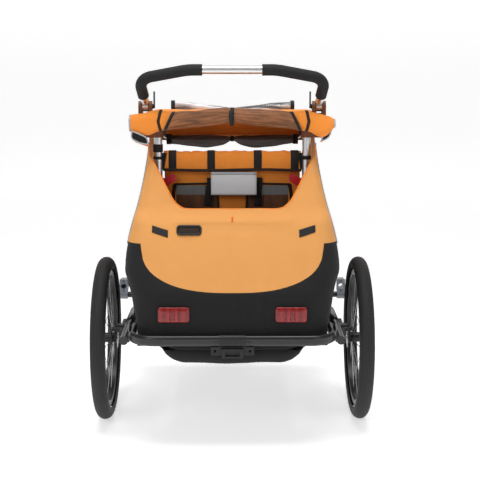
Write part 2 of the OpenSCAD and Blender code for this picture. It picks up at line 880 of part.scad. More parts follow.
// red locking collar that turns on the hoop
module latch() {
    low = shoulder_z + 236;
    difference() {
        union() {
            translate([hoop_x, 0, low]) cylinder(h = 24, r = main_r + 4);
            back_view(-5, 5) polygon([
                [hoop_x - main_r - 2, low + 1], [hoop_x - main_r - 2, low + 21],
                [hoop_x - 42, low + 36], [hoop_x - 52, low + 30], [hoop_x - 50, low + 14],
                [hoop_x - 30, low + 1]
            ]);
        }
        translate([hoop_x, 0, low - 1]) cylinder(h = 60, r = main_r + running);
    }
}

module latch_right() {
    color(red) in_place() latch();
}

module latch_left() {
    color(red) in_place() left_side() latch();
}

// ---- handlebar ----

// the plane of the handlebar: Z along its legs, from the pivots
module handle_plane() {
    in_place() translate([0, 0, joint_z]) rotate([90 - handle_tilt, 0, 0]) children();
}

module handlebar() {
    corner = [joint_x + 12, 0, handle_len - 36];
    inner = [128, 0, handle_len];
    foot = [joint_x, 0, 20];
    color(silver) handle_plane() {
        bent_tube([
            [-foot.x, 0, foot.z], [-corner.x, 0, corner.z], [-inner.x, 0, inner.z],
            inner, corner, foot
        ], [42, 150, 150, 42], handle_r, handle_r - tube_wall);
        both_sides() difference() {
            union() {
                x_pin(joint_x - joint_lug / 2, joint_x + joint_lug / 2, joint_r - 1);
                side_view(joint_x - joint_lug / 2, joint_x + joint_lug / 2)
                    translate([-9, 0]) square([18, 24]);
            }
            x_pin(joint_x - 20, joint_x + 20, 6 + running);
        }
    }
}

// foam sleeves from the joints to the bare middle of the bar
module handle_grips() {
    bare_half = 86;
    corner = [joint_x + 12, 0, handle_len - 36];
    inner = [128, 0, handle_len];
    foot = [joint_x, 0, 20];
    start = foot + 24 * unit(corner - foot);
    color(black) handle_plane() both_sides()
        bent_tube([[bare_half, 0, inner.z], inner, corner, start],
            [150, 42], grip_d / 2, handle_r + seated);
}

// release button in the joint's inner ear, with a thumb plate that stands up beside the leg
module button() {
    inner = joint_x - joint_lug / 2 - gap - joint_ear;
    in_place() {
        translate([0, 0, joint_z]) x_pin(inner - 4, inner + joint_ear - 3, 7);
        side_view(inner - 8, inner - 3.9) translate([-7, joint_z - 6]) square([14, 50]);
    }
}

module button_right() {
    color(black) button();
}

module button_left() {
    color(black) left_side() button();
}

// ---- suspension arms and wheels ----

module arm() {
    difference() {
        union() {
            side_view(arm_in, arm_out) {
                translate([arm_pivot_y, arm_pivot_z]) circle(r = 16);
                translate([0, wheel_r]) circle(r = 20);
                round_strip([[arm_pivot_y, arm_pivot_z], [0, wheel_r], brake_pivot], 22);
            }
            translate([0, brake_pivot.x, brake_pivot.y]) x_pin(arm_out - 1, hub_in + 6, 5);
        }
        translate([0, arm_pivot_y, arm_pivot_z]) x_pin(arm_in - 1, arm_out + 1, pin_r + running);
        translate([0, 0, wheel_r]) x_pin(arm_in - 1, arm_out + 1, axle_r + seated);
    }
}

module arm_right() {
    color(black) in_place() arm();
}

module arm_left() {
    color(black) in_place() left_side() arm();
}

module axle() {
    translate([0, 0, wheel_r]) {
        x_pin(arm_in - 6, arm_in - 0.2, 10);
        x_pin(arm_in - 0.3, hub_out - 2, axle_r);
    }
}

module axle_right() {
    color(silver) in_place() axle();
}

module axle_left() {
    color(silver) in_place() left_side() axle();
}

// turns a drawing of a wheel about Z to stand at the right-hand wheel's place
module at_wheel() {
    translate([wheel_x, 0, wheel_r]) rotate([0, 90, 0]) children();
}

module tyre() {
    shell = 3.5;
    at_wheel() rotate_extrude() difference() {
        translate([tyre_ring_r, 0]) ring(tyre_w / 2, tyre_w / 2 - shell);
        translate([0, -tyre_w]) square([rim_r + seated, 2 * tyre_w]);
    }
}

module tyre_right() {
    color(dark) in_place() tyre();
}

module tyre_left() {
    color(dark) in_place() left_side() tyre();
}

module rim() {
    well = 15.8;
    wall = 3;
    at_wheel() rotate_extrude() translate([rim_r - well, 0]) difference() {
        translate([0, -rim_half]) square([well, 2 * rim_half]);
        translate([wall, -rim_half + 2]) square([well, 2 * rim_half - 4]);
    }
}

module rim_right() {
    color(black) in_place() rim();
}

module rim_left() {
    color(black) in_place() left_side() rim();
}

module spokes() {
    inner = flange_r - 4;
    outer = rim_r - 14.5;
    offset_x = flange_off - 0.5;
    lean = atan2(offset_x - 4, outer - inner);
    at_wheel() for (i = [0 : spoke_count - 1])
        rotate([0, 0, i * 360 / spoke_count]) {
            side = i % 2 == 0 ? 1 : -1;
            translate([inner, 0, side * offset_x]) rotate([0, 90 + side * lean, 0])
                cylinder(h = (outer - inner) / cos(lean), r = 1);
        }
}

module spokes_right() {
    color(silver) in_place() spokes();
}

module spokes_left() {
    color(silver) in_place() left_side() spokes();
}

// hub shell with two spoke flanges and the notched ring that the parking brake locks
module hub() {
    flange_t = 3;
    notch = 8;
    difference() {
        translate([0, 0, wheel_r]) {
            x_pin(hub_in, hub_out, 15);
            for (x = [-flange_off, flange_off])
                x_pin(wheel_x + x - flange_t / 2, wheel_x + x + flange_t / 2, flange_r);
            x_pin(hub_in, hub_in + 5, brake_ring_r);
        }
        translate([0, 0, wheel_r]) x_pin(hub_in - 1, hub_out - 1.5, axle_r + running);
        for (i = [0 : brake_notches - 1])
            translate([hub_in - 1, 0, wheel_r]) rotate([i * 360 / brake_notches, 0, 0])
                translate([0, brake_ring_r - 6, -notch / 2]) cube([7, 10, notch]);
    }
}

module hub_right() {
    color(black) in_place() hub();
}

module hub_left() {
    color(black) in_place() left_side() hub();
}

// parking brake lever: a pawl in front of the notched ring and a pedal behind
module brake_lever() {
    plate_in = hub_in - 1;
    plate_out = hub_in + 5;
    nose = [-brake_ring_r - 4, wheel_r];
    difference() {
        union() {
            side_view(plate_in, plate_out) {
                translate(brake_pivot) circle(r = 9);
                round_strip([brake_pivot, [nose.x - 9, nose.y]], 8);
                round_strip([brake_pivot, brake_pivot + [-62, 8]], 10);
                translate([nose.x - 9, nose.y - 2.5]) square([9, 5]);
            }
            side_view(arm_in + 4, plate_out)
                translate(brake_pivot + [-72, 4]) square([16, 8]);
        }
        translate([0, brake_pivot.x, brake_pivot.y]) x_pin(plate_in - 1, plate_out + 1, 5 + running);
    }
}

module brake_lever_right() {
    color(red) in_place() brake_lever();
}

module brake_lever_left() {
    color(red) in_place() left_side() brake_lever();
}

side_rail_left();
side_rail_right();
front_cross_tube();
axle_cross_tube();
rear_bumper();
bumper_sleeve();
bumper_screws();
rear_bracket();
corner_plates();
side_frame_left();
side_frame_right();
pivot_pins();
hinge_pins();
floor_panel();
tub_side_left();
tub_side_right();
tub_rear();
tub_front();
rear_panel();
cover_side_left();
cover_side_right();
seat_base();
seat_back();
harness();
rear_reflectors();
receiver_left();
receiver_right();
caster_carrier();
roll_hoop();
roof_hoop();
handle_sockets();
seat_bar();
roof_cover();
rolled_cover();
clear_roll();
mesh_roll();
latch_left();
latch_right();
handlebar();
handle_grips();
button_left();
button_right();
arm_left();
arm_right();
axle_left();
axle_right();
tyre_left();
tyre_right();
rim_left();
rim_right();
spokes_left();
spokes_right();
hub_left();
hub_right();
brake_lever_left();
brake_lever_right();
caster_fork();
caster_axle();
caster_wheel();
tow_arm();
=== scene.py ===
import json
import math

import bpy
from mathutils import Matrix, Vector, noise
from mathutils.bvhtree import BVHTree


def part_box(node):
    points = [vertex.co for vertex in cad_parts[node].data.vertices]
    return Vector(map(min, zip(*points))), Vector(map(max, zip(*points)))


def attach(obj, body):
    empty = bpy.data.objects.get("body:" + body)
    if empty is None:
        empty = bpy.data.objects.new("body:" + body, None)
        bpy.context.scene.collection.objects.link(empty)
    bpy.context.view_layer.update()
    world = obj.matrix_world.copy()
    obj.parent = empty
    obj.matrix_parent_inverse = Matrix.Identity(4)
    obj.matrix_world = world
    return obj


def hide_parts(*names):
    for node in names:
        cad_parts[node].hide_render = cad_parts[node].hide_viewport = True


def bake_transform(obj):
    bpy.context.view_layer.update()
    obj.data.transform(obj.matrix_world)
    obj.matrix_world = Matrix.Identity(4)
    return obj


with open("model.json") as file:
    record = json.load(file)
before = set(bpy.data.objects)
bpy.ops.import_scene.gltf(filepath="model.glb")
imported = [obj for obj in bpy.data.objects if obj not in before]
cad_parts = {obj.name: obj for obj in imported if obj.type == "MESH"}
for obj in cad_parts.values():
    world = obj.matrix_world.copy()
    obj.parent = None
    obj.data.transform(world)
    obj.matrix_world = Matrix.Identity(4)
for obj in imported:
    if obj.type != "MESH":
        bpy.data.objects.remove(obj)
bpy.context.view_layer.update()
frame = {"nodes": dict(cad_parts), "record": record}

# Points below are millimetres from the floor under the wheel axles: +X right, +Y forward, +Z up.
hoop_low, hoop_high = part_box("roll_hoop")
AXLE_Y = (hoop_low.y + hoop_high.y) / 2
X_AXIS = Vector((1, 0, 0))

LENS_MM = 81
CAMERA_PLACE = (0, -3238, 1055)
CAMERA_PITCH = math.radians(8.86)
CAMERA_PAN = math.radians(0.41)
WORLD_STRENGTH = 0.26
FLOOR_GLOW = 0.55

RING_SIDES = 44
HALF_BUNDLE = 299
BUNDLE_Y = -60
NET_Y = -66
WINDOW_Y = 60
SCREEN_Y = 190
NET_SPLIT_HEIGHT = 0.685
SEAT_FOLD = (430, 700)


def at(x, y, z):
    return Vector((x / 1000, AXLE_Y + y / 1000, z / 1000))


def from_axles(point):
    return point.x * 1000, (point.y - AXLE_Y) * 1000, point.z * 1000


# ---- camera, light and floor ----

def place_camera():
    """A long lens behind the trailer, a little above the handlebar, looking down."""
    level = math.cos(CAMERA_PITCH)
    ahead = Vector((math.sin(CAMERA_PAN) * level, math.cos(CAMERA_PAN) * level, -math.sin(CAMERA_PITCH)))
    data = bpy.data.cameras.new("camera")
    data.sensor_width = 36
    data.lens = LENS_MM
    camera = bpy.data.objects.new("camera", data)
    camera.location = at(*CAMERA_PLACE)
    camera.rotation_euler = ahead.to_track_quat("-Z", "Y").to_euler()
    bpy.context.collection.objects.link(camera)
    bpy.context.scene.camera = camera


def area_light(name, place, target, size, power):
    data = bpy.data.lights.new(name, "AREA")
    data.shape = "RECTANGLE"
    data.size, data.size_y = size
    data.energy = power
    light = bpy.data.objects.new(name, data)
    light.location = place
    light.rotation_euler = (target - place).to_track_quat("-Z", "Y").to_euler()
    bpy.context.collection.objects.link(light)


def light_studio():
    bpy.context.scene.view_settings.view_transform = "Standard"
    world = bpy.data.worlds.new("studio")
    world.use_nodes = True
    world.node_tree.nodes["Background"].inputs["Color"].default_value = (1, 1, 1, 1)
    world.node_tree.nodes["Background"].inputs["Strength"].default_value = WORLD_STRENGTH
    bpy.context.scene.world = world
    middle = at(0, 100, 500)
    area_light("top_box", at(0, -300, 2700), middle, (2.2, 1.0), 44)
    area_light("rear_box", at(-1500, -2600, 1900), middle, (1.2, 1.2), 20)
    area_light("rear_fill", at(1900, -2300, 1200), middle, (1.0, 1.4), 6)


# ---- node materials ----

def srgb(red, green, blue):
    """A colour given as 0 to 255, as Blender's linear values."""
    channels = (red, green, blue)
    return tuple(((c / 255 + 0.055) / 1.055) ** 2.4 if c > 10 else c / 3295 for c in channels) + (1,)


def shade(colour, factor):
    return tuple(min(1, c * factor) for c in colour[:3]) + (1,)


class Finish:
    """A Principled material that is put together node by node."""

    def __init__(self, name, roughness, metallic=0.0):
        self.material = bpy.data.materials.new(name)
        self.material.use_nodes = True
        self.tree = self.material.node_tree
        self.shader = self.tree.nodes["Principled BSDF"]
        self.shader.inputs["Roughness"].default_value = roughness
        self.shader.inputs["Metallic"].default_value = metallic
        self.place = self.add("ShaderNodeTexCoord").outputs["Object"]
        self.normal = None

    def add(self, kind, inputs=(), **settings):
        made = self.tree.nodes.new(kind)
        for key, value in settings.items():
            setattr(made, key, value)
        for key, value in dict(inputs).items():
            self.feed(value, made.inputs[key])
        return made

    def feed(self, value, socket):
        if isinstance(value, bpy.types.NodeSocket):
            self.tree.links.new(value, socket)
        else:
            socket.default_value = value

    def mix(self, factor, a, b):
        made = self.add("ShaderNodeMix", data_type="RGBA")
        for index, value in ((0, factor), (6, a), (7, b)):
            self.feed(value, made.inputs[index])
        return made.outputs[2]

    def maths(self, operation, a, b=0.0):
        made = self.add("ShaderNodeMath", operation=operation)
        self.feed(a, made.inputs[0])
        self.feed(b, made.inputs[1])
        return made.outputs[0]

    def stretched(self, x, y, z):
        return self.add("ShaderNodeMapping", {"Vector": self.place, "Scale": (x, y, z)}).outputs["Vector"]

    def grain(self, scale, detail=3.0, where=None):
        inputs = {"Vector": where or self.place, "Scale": scale, "Detail": detail}
        return self.add("ShaderNodeTexNoise", inputs).outputs["Fac"]

    def threads(self, per_metre, direction):
        inputs = {"Vector": self.place, "Scale": per_metre / 3.2, "Distortion": 0.4}
        return self.add("ShaderNodeTexWave", inputs, bands_direction=direction).outputs["Fac"]

    def bump(self, height, strength, distance):
        inputs = {"Height": height, "Strength": strength, "Distance": distance}
        made = self.add("ShaderNodeBump", inputs)
        if self.normal:
            self.feed(self.normal, made.inputs["Normal"])
        self.normal = made.outputs["Normal"]
        self.feed(self.normal, self.shader.inputs["Normal"])

    def colour(self, value):
        self.feed(value, self.shader.inputs["Base Color"])

    def roughen(self, low, high, height):
        """Roughness that wanders between two values with a texture's height."""
        spread = self.maths("MULTIPLY", height, high - low)
        self.feed(self.maths("ADD", spread, low), self.shader.inputs["Roughness"])

    def attribute(self, name):
        return self.add("ShaderNodeAttribute", attribute_name=name).outputs["Fac"]


def weave(finish, depth=0.25, pitch=1100):
    """Plain weave: threads across and along, more or less whichever way the cloth faces."""
    crossing = finish.maths("ADD", finish.threads(pitch, "X"), finish.threads(pitch, "Z"))
    finish.bump(crossing, depth, 0.0004)


def cloth(name, colour, roughness=0.88, wrinkles=22, depth=0.35, sheen=0.06):
    finish = Finish(name, roughness)
    mottled = finish.mix(finish.grain(9, 5), shade(colour, 0.93), shade(colour, 1.06))
    fine = finish.mix(finish.grain(420, 2), shade(colour, 0.88), shade(colour, 1.05))
    finish.colour(finish.mix(0.35, mottled, fine))
    finish.shader.inputs["Sheen Weight"].default_value = sheen
    weave(finish)
    finish.bump(finish.grain(wrinkles, 4), depth, 0.006)
    return finish


def two_tone_cloth(name, upper, lower):
    """Cover cloth that changes colour at the sewn line where the attribute zone is zero."""
    finish = cloth(name, upper, sheen=0.04, depth=0.3)
    zone = finish.attribute("zone")
    body = finish.shader.inputs["Base Color"].links[0].from_socket
    lower_tone = finish.mix(finish.grain(30, 4), shade(lower, 0.8), shade(lower, 1.25))
    split = finish.mix(finish.maths("GREATER_THAN", zone, 0.0), lower_tone, body)
    seam = finish.maths("LESS_THAN", finish.maths("ABSOLUTE", zone), 0.0012)
    finish.colour(finish.mix(seam, split, shade(lower, 1.6)))
    return finish


def open_net(name, colour, see_through):
    """Net seen from far: partly see-through, denser in its folds, which the attribute fold follows; along
    the folds its colour is painted darker and lighter as painted shade and highlight.
    """
    finish = Finish(name, 0.6)
    fold_shade_and_density = finish.attribute("fold")
    # painted shade and highlight: the net's colour goes darker and lighter along its folds
    finish.colour(finish.mix(fold_shade_and_density, shade(colour, 0.55), shade(colour, 1.5)))
    holes = finish.maths("MULTIPLY", finish.threads(900, "X"), finish.threads(900, "Z"))
    finish.bump(holes, 0.4, 0.0006)
    cover = finish.maths("SUBTRACT", 1.0 - see_through, finish.maths("MULTIPLY", fold_shade_and_density, see_through * 0.4))
    finish.feed(cover, finish.shader.inputs["Alpha"])
    return finish


def brushed_metal(name, colour, roughness, grain=(4, 900, 900)):
    finish = Finish(name, roughness, metallic=1.0)
    lines = finish.grain(1.0, 4, finish.stretched(*grain))
    finish.colour(finish.mix(lines, shade(colour, 0.85), shade(colour, 1.05)))
    finish.roughen(roughness - 0.06, roughness + 0.1, lines)
    finish.bump(lines, 0.12, 0.0003)
    return finish


def painted_metal(name, colour, roughness):
    """Powder coat: orange-peel skin, with the finish rubbed smoother in places."""
    finish = Finish(name, roughness)
    worn = finish.grain(26, 6)
    finish.colour(finish.mix(worn, shade(colour, 0.75), shade(colour, 1.35)))
    finish.roughen(roughness - 0.08, roughness + 0.12, worn)
    finish.shader.inputs["Coat Weight"].default_value = 0.25
    finish.shader.inputs["Coat Roughness"].default_value = 0.25
    finish.bump(finish.grain(900, 2), 0.15, 0.0003)
    return finish


def moulded_plastic(name, colour, roughness, grain=700, depth=0.2):
    finish = Finish(name, roughness)
    finish.colour(finish.mix(finish.grain(60, 4), shade(colour, 0.85), shade(colour, 1.2)))
    finish.roughen(roughness - 0.06, roughness + 0.08, finish.grain(35, 3))
    finish.bump(finish.grain(grain, 2), depth, 0.0004)
    return finish


def foam_rubber(name, colour):
    finish = Finish(name, 0.85)
    finish.colour(finish.mix(finish.grain(500, 3), shade(colour, 0.7), shade(colour, 1.4)))
    finish.bump(finish.grain(650, 4), 0.45, 0.0008)
    return finish


def tread_rubber(name, colour):
    """Tyre rubber with rows of small blocks, the grooves between them painted nearly black as painted shade;
    U runs round the tyre and V across it.
    """
    finish = Finish(name, 0.72)
    along = finish.add("ShaderNodeTexCoord").outputs["UV"]
    blocks = finish.add(
        "ShaderNodeTexBrick",
        {"Vector": along, "Scale": 1.0, "Mortar Size": 0.09, "Mortar Smooth": 0.35,
         "Brick Width": 1.0, "Row Height": 0.62},
        offset=0.5,
    ).outputs["Fac"]
    tread = finish.attribute("tread")
    groove_and_shade = finish.maths("MULTIPLY", blocks, tread)
    dusty = finish.mix(finish.grain(14, 5), shade(colour, 0.8), shade(colour, 1.25))
    # painted shade: the grooves between the blocks are coloured nearly black
    finish.colour(finish.mix(groove_and_shade, dusty, shade(colour, 0.16)))
    finish.bump(finish.maths("SUBTRACT", 1.0, groove_and_shade), 1.0, 0.004)
    finish.bump(finish.grain(300, 3), 0.2, 0.0004)
    return finish


def plain_rubber(name, colour):
    finish = Finish(name, 0.7)
    finish.colour(finish.mix(finish.grain(40, 5), shade(colour, 0.75), shade(colour, 1.25)))
    finish.bump(finish.grain(400, 4), 0.3, 0.0006)
    return finish


def reflector_red(name):
    """Prismatic lens: small cells under a glossy skin, each cell painted lighter towards its edge as a
    painted glint.
    """
    finish = Finish(name, 0.18)
    cells = finish.add("ShaderNodeTexVoronoi", {"Vector": finish.place, "Scale": 240.0}).outputs["Distance"]
    bars = finish.threads(48, "X")
    deep = finish.mix(bars, srgb(66, 4, 4), srgb(136, 12, 12))
    # painted glint: each cell is coloured lighter towards its edge
    finish.colour(finish.mix(finish.maths("MULTIPLY", cells, 0.7), deep, srgb(160, 26, 24)))
    finish.shader.inputs["Coat Weight"].default_value = 0.2
    finish.shader.inputs["Coat Roughness"].default_value = 0.12
    finish.bump(cells, 0.3, 0.0006)
    return finish


def clear_film(name):
    """Rolled clear film: streaks of grey and white where the layers catch light."""
    finish = Finish(name, 0.16)
    streaks = finish.grain(1.0, 5, finish.stretched(9, 70, 110))
    sharp = finish.add("ShaderNodeValToRGB", {"Fac": streaks})
    sharp.color_ramp.elements[0].position = 0.44
    sharp.color_ramp.elements[0].color = srgb(70, 71, 74)
    sharp.color_ramp.elements[1].position = 0.58
    sharp.color_ramp.elements[1].color = srgb(225, 227, 230)
    finish.colour(sharp.outputs["Color"])
    solid_share = finish.maths("ADD", finish.maths("MULTIPLY", streaks, 0.4), 0.6)
    finish.feed(solid_share, finish.shader.inputs["Alpha"])
    finish.shader.inputs["Coat Weight"].default_value = 0.5
    finish.bump(streaks, 0.6, 0.004)
    return finish


def webbing_weave(name, colour):
    finish = Finish(name, 0.75)
    ribs = finish.threads(420, "Z")
    finish.colour(finish.mix(ribs, shade(colour, 0.7), shade(colour, 1.5)))
    finish.shader.inputs["Sheen Weight"].default_value = 0.06
    finish.bump(ribs, 0.5, 0.0006)
    finish.bump(finish.grain(600, 2), 0.2, 0.0003)
    return finish


def window_net(name):
    """Net windows: pale and see-through above, brown and denser below, with painted shade and highlight in
    darker and lighter streaks along their folds.
    """
    finish = Finish(name, 0.7)
    height = finish.add("ShaderNodeSeparateXYZ", {"Vector": finish.place}).outputs["Z"]
    upper = finish.maths("GREATER_THAN", height, NET_SPLIT_HEIGHT)
    folds = finish.grain(1.0, 3, finish.stretched(60, 10, 9))
    # painted shade and highlight: darker and lighter streaks along the folds
    brown = finish.mix(folds, srgb(52, 30, 16), srgb(150, 92, 50))
    grey = finish.mix(folds, srgb(58, 56, 56), srgb(92, 90, 90))
    finish.colour(finish.mix(upper, brown, grey))
    holes = finish.maths("MULTIPLY", finish.threads(700, "X"), finish.threads(700, "Z"))
    finish.bump(holes, 0.4, 0.0006)
    open_share = finish.maths("ADD", finish.maths("MULTIPLY", upper, -0.16), 0.96)
    finish.feed(open_share, finish.shader.inputs["Alpha"])
    return finish


ORANGE = srgb(226, 158, 86)
BRIGHT = srgb(245, 146, 52)
RUST = srgb(226, 92, 34)
BLACK_CLOTH = srgb(12, 11, 13)

orange_cloth = two_tone_cloth("orange_cover_cloth", ORANGE, BLACK_CLOTH).material
bright_cloth = cloth("bright_orange_cloth", BRIGHT, wrinkles=30, depth=0.5).material
lining = cloth("lining_cloth", RUST, depth=0.3).material
black_cloth = cloth("black_cloth", BLACK_CLOTH, wrinkles=16, depth=0.45).material
brown_net = open_net("brown_net", srgb(139, 89, 54), 0.08).material
dark_net = open_net("dark_net", srgb(70, 66, 67), 0.14).material
net_window = window_net("window_net").material
webbing = webbing_weave("black_webbing", srgb(13, 12, 14)).material
binding = cloth("brown_binding", srgb(44, 28, 20), depth=0.2).material
film = clear_film("clear_film").material
reflector = reflector_red("reflector_red").material
piping_grey = cloth("grey_piping", srgb(176, 177, 180), roughness=0.45, depth=0.1).material
paper = cloth("blank_label", srgb(226, 226, 228), roughness=0.5, depth=0.08, sheen=0.0).material
tread = tread_rubber("tread_rubber", srgb(38, 37, 38)).material
red_tag = cloth("tag_cloth", srgb(226, 92, 40), depth=0.1).material

slot_finish = {
    "black_frame": painted_metal("black_powder_coat", srgb(14, 14, 16), 0.34).material,
    "black_plastic": moulded_plastic("black_plastic", srgb(16, 16, 18), 0.48).material,
    "steel": brushed_metal("zinc_plated_steel", srgb(190, 190, 192), 0.32).material,
    "spoke_steel": brushed_metal("spoke_wire", srgb(178, 178, 182), 0.26).material,
    "black_cloth": black_cloth,
    "orange_cloth": orange_cloth,
    "bright_cloth": bright_cloth,
    "webbing": webbing,
    "reflector": reflector,
    "grey_cast": painted_metal("grey_casting", srgb(118, 122, 130), 0.4).material,
    "aluminium": brushed_metal("brushed_aluminium", srgb(226, 226, 228), 0.3).material,
    "brown_plastic": moulded_plastic("brown_plastic", srgb(104, 58, 28), 0.5).material,
    "clear_film": film,
    "mesh": dark_net,
    "red_plastic": moulded_plastic("red_plastic", srgb(206, 26, 40), 0.3).material,
    "foam": foam_rubber("grip_foam", srgb(22, 22, 24)).material,
    "tyre": plain_rubber("moulded_rubber", srgb(30, 29, 30)).material,
}


# ---- mesh building ----

def through(*points):
    """A smooth function through (position, value) points that never overshoots, flat beyond its ends."""
    xs = [p[0] for p in points]
    ys = [p[1] for p in points]
    slopes = [(ys[i + 1] - ys[i]) / (xs[i + 1] - xs[i]) for i in range(len(xs) - 1)]
    inner = [0.0 if a * b <= 0 else 2 * a * b / (a + b) for a, b in zip(slopes, slopes[1:])]
    tangents = [slopes[0], *inner, slopes[-1]]

    def value(t):
        if t <= xs[0]:
            return ys[0]
        if t >= xs[-1]:
            return ys[-1]
        i = max(k for k in range(len(xs) - 1) if xs[k] <= t)
        h = xs[i + 1] - xs[i]
        s = (t - xs[i]) / h
        start = (1 + 2 * s) * (1 - s) ** 2 * ys[i] + s * (1 - s) ** 2 * h * tangents[i]
        return start + s * s * (3 - 2 * s) * ys[i + 1] + s * s * (s - 1) * h * tangents[i + 1]

    return value


def blend_value(a, b, t):
    return a + (b - a) * t


def steps(low, high, count):
    return [low + (high - low) * i / (count - 1) for i in range(count)]


def grid(name, rows, ring=False, capped=False):
    """A surface through rows of points; ring joins a row's ends, capped closes the first and last row."""
    width = len(rows[0])
    vertices = [tuple(p) for row in rows for p in row]
    faces = []
    for i in range(len(rows) - 1):
        for j in range(width if ring else width - 1):
            k = (j + 1) % width
            faces.append((i * width + j, i * width + k, (i + 1) * width + k, (i + 1) * width + j))
    if capped:
        faces.append(tuple(reversed(range(width))))
        faces.append(tuple((len(rows) - 1) * width + j for j in range(width)))
    mesh = bpy.data.meshes.new(name)
    mesh.from_pydata(vertices, [], faces)
    mesh.update()
    mesh.polygons.foreach_set("use_smooth", [True] * len(mesh.polygons))
    obj = bpy.data.objects.new(name, mesh)
    obj["cut_area"] = sum(face.area for face in mesh.polygons)
    bpy.context.collection.objects.link(obj)
    return obj


def apply_modifiers(obj):
    graph = bpy.context.evaluated_depsgraph_get()
    graph.update()
    obj.data = bpy.data.meshes.new_from_object(obj.evaluated_get(graph))
    obj.modifiers.clear()


def subdivided(obj, levels=1):
    made = obj.modifiers.new("smooth", "SUBSURF")
    made.levels = made.render_levels = levels
    apply_modifiers(obj)
    return obj


def thickened(obj, millimetres, offset=0.0, inner=None):
    """Give a sheet its thickness; inner is the material of its far side."""
    made = obj.modifiers.new("thickness", "SOLIDIFY")
    made.thickness = millimetres / 1000
    made.offset = offset
    if inner is not None:
        obj.data.materials.append(inner)
        made.material_offset = len(obj.data.materials) - 1
        made.material_offset_rim = 0
    apply_modifiers(obj)
    return obj


def displaced(obj, height):
    """Move each point along its normal by height(x, y, z) millimetres."""
    mesh = obj.data
    moved = [v.co + v.normal * (height(*from_axles(v.co)) / 1000) for v in mesh.vertices]
    for v, place in zip(mesh.vertices, moved):
        v.co = place
    mesh.update()
    return obj


def painted(obj, material):
    if obj.data.materials:
        obj.data.materials[0] = material
    else:
        obj.data.materials.append(material)
    return obj


def tag_points(obj, name, value):
    """Store value(x, y, z) on each point under this name, for the material to read."""
    made = obj.data.attributes.new(name, "FLOAT", "POINT")
    made.data.foreach_set("value", [value(*from_axles(v.co)) for v in obj.data.vertices])


def round_cord(name, points, radius, sides=10, closed=False):
    """A round bead of this radius, in millimetres, along the points."""
    count = len(points)
    side = None
    rows = []
    for i, point in enumerate(points):
        before = points[i - 1] if i or closed else point
        after = points[(i + 1) % count] if i < count - 1 or closed else point
        ahead = (after - before).normalized()
        if side is None:
            side = ahead.orthogonal().normalized()
        side = (side - ahead * side.dot(ahead)).normalized()
        up = ahead.cross(side)
        rows.append([
            point + (side * math.cos(a) + up * math.sin(a)) * radius / 1000
            for a in (2 * math.pi * k / sides for k in range(sides))
        ])
    if closed:
        rows.append(rows[0])
    return grid(name, rows, ring=True, capped=not closed)


def strap(name, path, width, thickness, side=X_AXIS):
    """Flat webbing with rounded edges along a path, width lying along side."""
    rows = []
    for i, point in enumerate(path):
        ahead = (path[min(i + 1, len(path) - 1)] - path[max(i - 1, 0)]).normalized()
        across = (side - ahead * side.dot(ahead)).normalized()
        out = ahead.cross(across)
        half, thick = width / 2000, thickness / 2000
        outline = [(-half, 0), (-half * 0.9, thick), (half * 0.9, thick), (half, 0),
                   (half * 0.9, -thick), (-half * 0.9, -thick)]
        rows.append([point + across * a + out * b for a, b in outline])
    return grid(name, rows, ring=True, capped=True)


def smooth_path(points, per_span=6):
    """Points on a soft curve through the given ones."""
    made = []
    for i in range(len(points) - 1):
        a = points[max(i - 1, 0)]
        b, c = points[i], points[i + 1]
        d = points[min(i + 2, len(points) - 1)]
        for k in range(per_span):
            t = k / per_span
            made.append(0.5 * (2 * b + (c - a) * t + (2 * a - 5 * b + 4 * c - d) * t ** 2
                               + (3 * b - a - 3 * c + d) * t ** 3))
    return [*made, points[-1]]


def merged(name, pieces):
    """One object made of several, which share one material."""
    bpy.ops.object.select_all(action="DESELECT")
    for piece in pieces:
        piece.select_set(True)
    bpy.context.view_layer.objects.active = pieces[0]
    bpy.ops.object.join()
    pieces[0].name = name
    return pieces[0]


def ripple(x, y, z, size, seed=0.0):
    """Smooth noise between -1 and 1 with bumps about size millimetres across."""
    return noise.noise(Vector((x / size + seed, y / size - seed, z / size + 2 * seed)))


def ridge(x, z, start, end, width):
    """How near (x, z) is to a crease that runs from start to end: 1 on it, 0 away from it."""
    ax, az = start
    bx, bz = end
    length = (bx - ax) ** 2 + (bz - az) ** 2
    t = max(0.0, min(1.0, ((x - ax) * (bx - ax) + (z - az) * (bz - az)) / length))
    away = math.hypot(x - ax - t * (bx - ax), z - az - t * (bz - az))
    fade = math.sin(math.pi * max(0.06, min(0.94, t)))
    return fade * math.exp(-((away / width) ** 2))


def crosses_fold(piece, low=500, high=830):
    """Cloth between the fixed tub and the folding cage: its placement is baked into its points."""
    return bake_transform(piece)


# ---- finishes of the parts that stay as they are ----

for part in frame["record"]["subparts"]:
    node = frame["nodes"][part["node"]]
    node.data.materials.clear()
    node.data.materials.append(slot_finish[part["material_slot"]])


# ---- cover: one sheet round the back and both sides ----

half_width = through((288, 271), (335, 272), (372, 278), (400, 283), (440, 289), (470, 297), (500, 306),
                     (540, 303), (575, 298), (645, 281), (707, 266), (780, 253), (838, 247), (925, 245))
rear_y = through((288, -306), (440, -306), (470, -291), (560, -242), (618, -210), (636, -201), (650, -178),
                 (664, -151), (690, -133), (744, -97), (800, -60), (838, -36))
corner_r = through((288, 84), (440, 84), (500, 76), (560, 62), (632, 46), (664, 38), (740, 27), (838, 21))
opening_top = through((0, 664), (0.5, 664), (0.574, 665), (0.69, 680), (0.785, 710), (0.897, 752), (1, 787))
corner_top = through((0, 787), (0.6, 812), (1, 838))
rear_hem = through((0, 288), (0.8, 288), (1, 301))
side_top = through((-8, 838), (18, 838), (30, 908), (60, 922), (150, 906), (200, 875), (235, 846))
side_hem = through((-221, 301), (-150, 320), (-70, 444), (60, 452), (426, 408))


def front_edge(z):
    return 235 + max(0, 845 - z) * 0.46


def hinge_bulge(y, z):
    """How far the side stands out over the hinge of the folding cage."""
    return 24 * math.exp(-((y / 75) ** 2) - ((z - 472) / 45) ** 2)


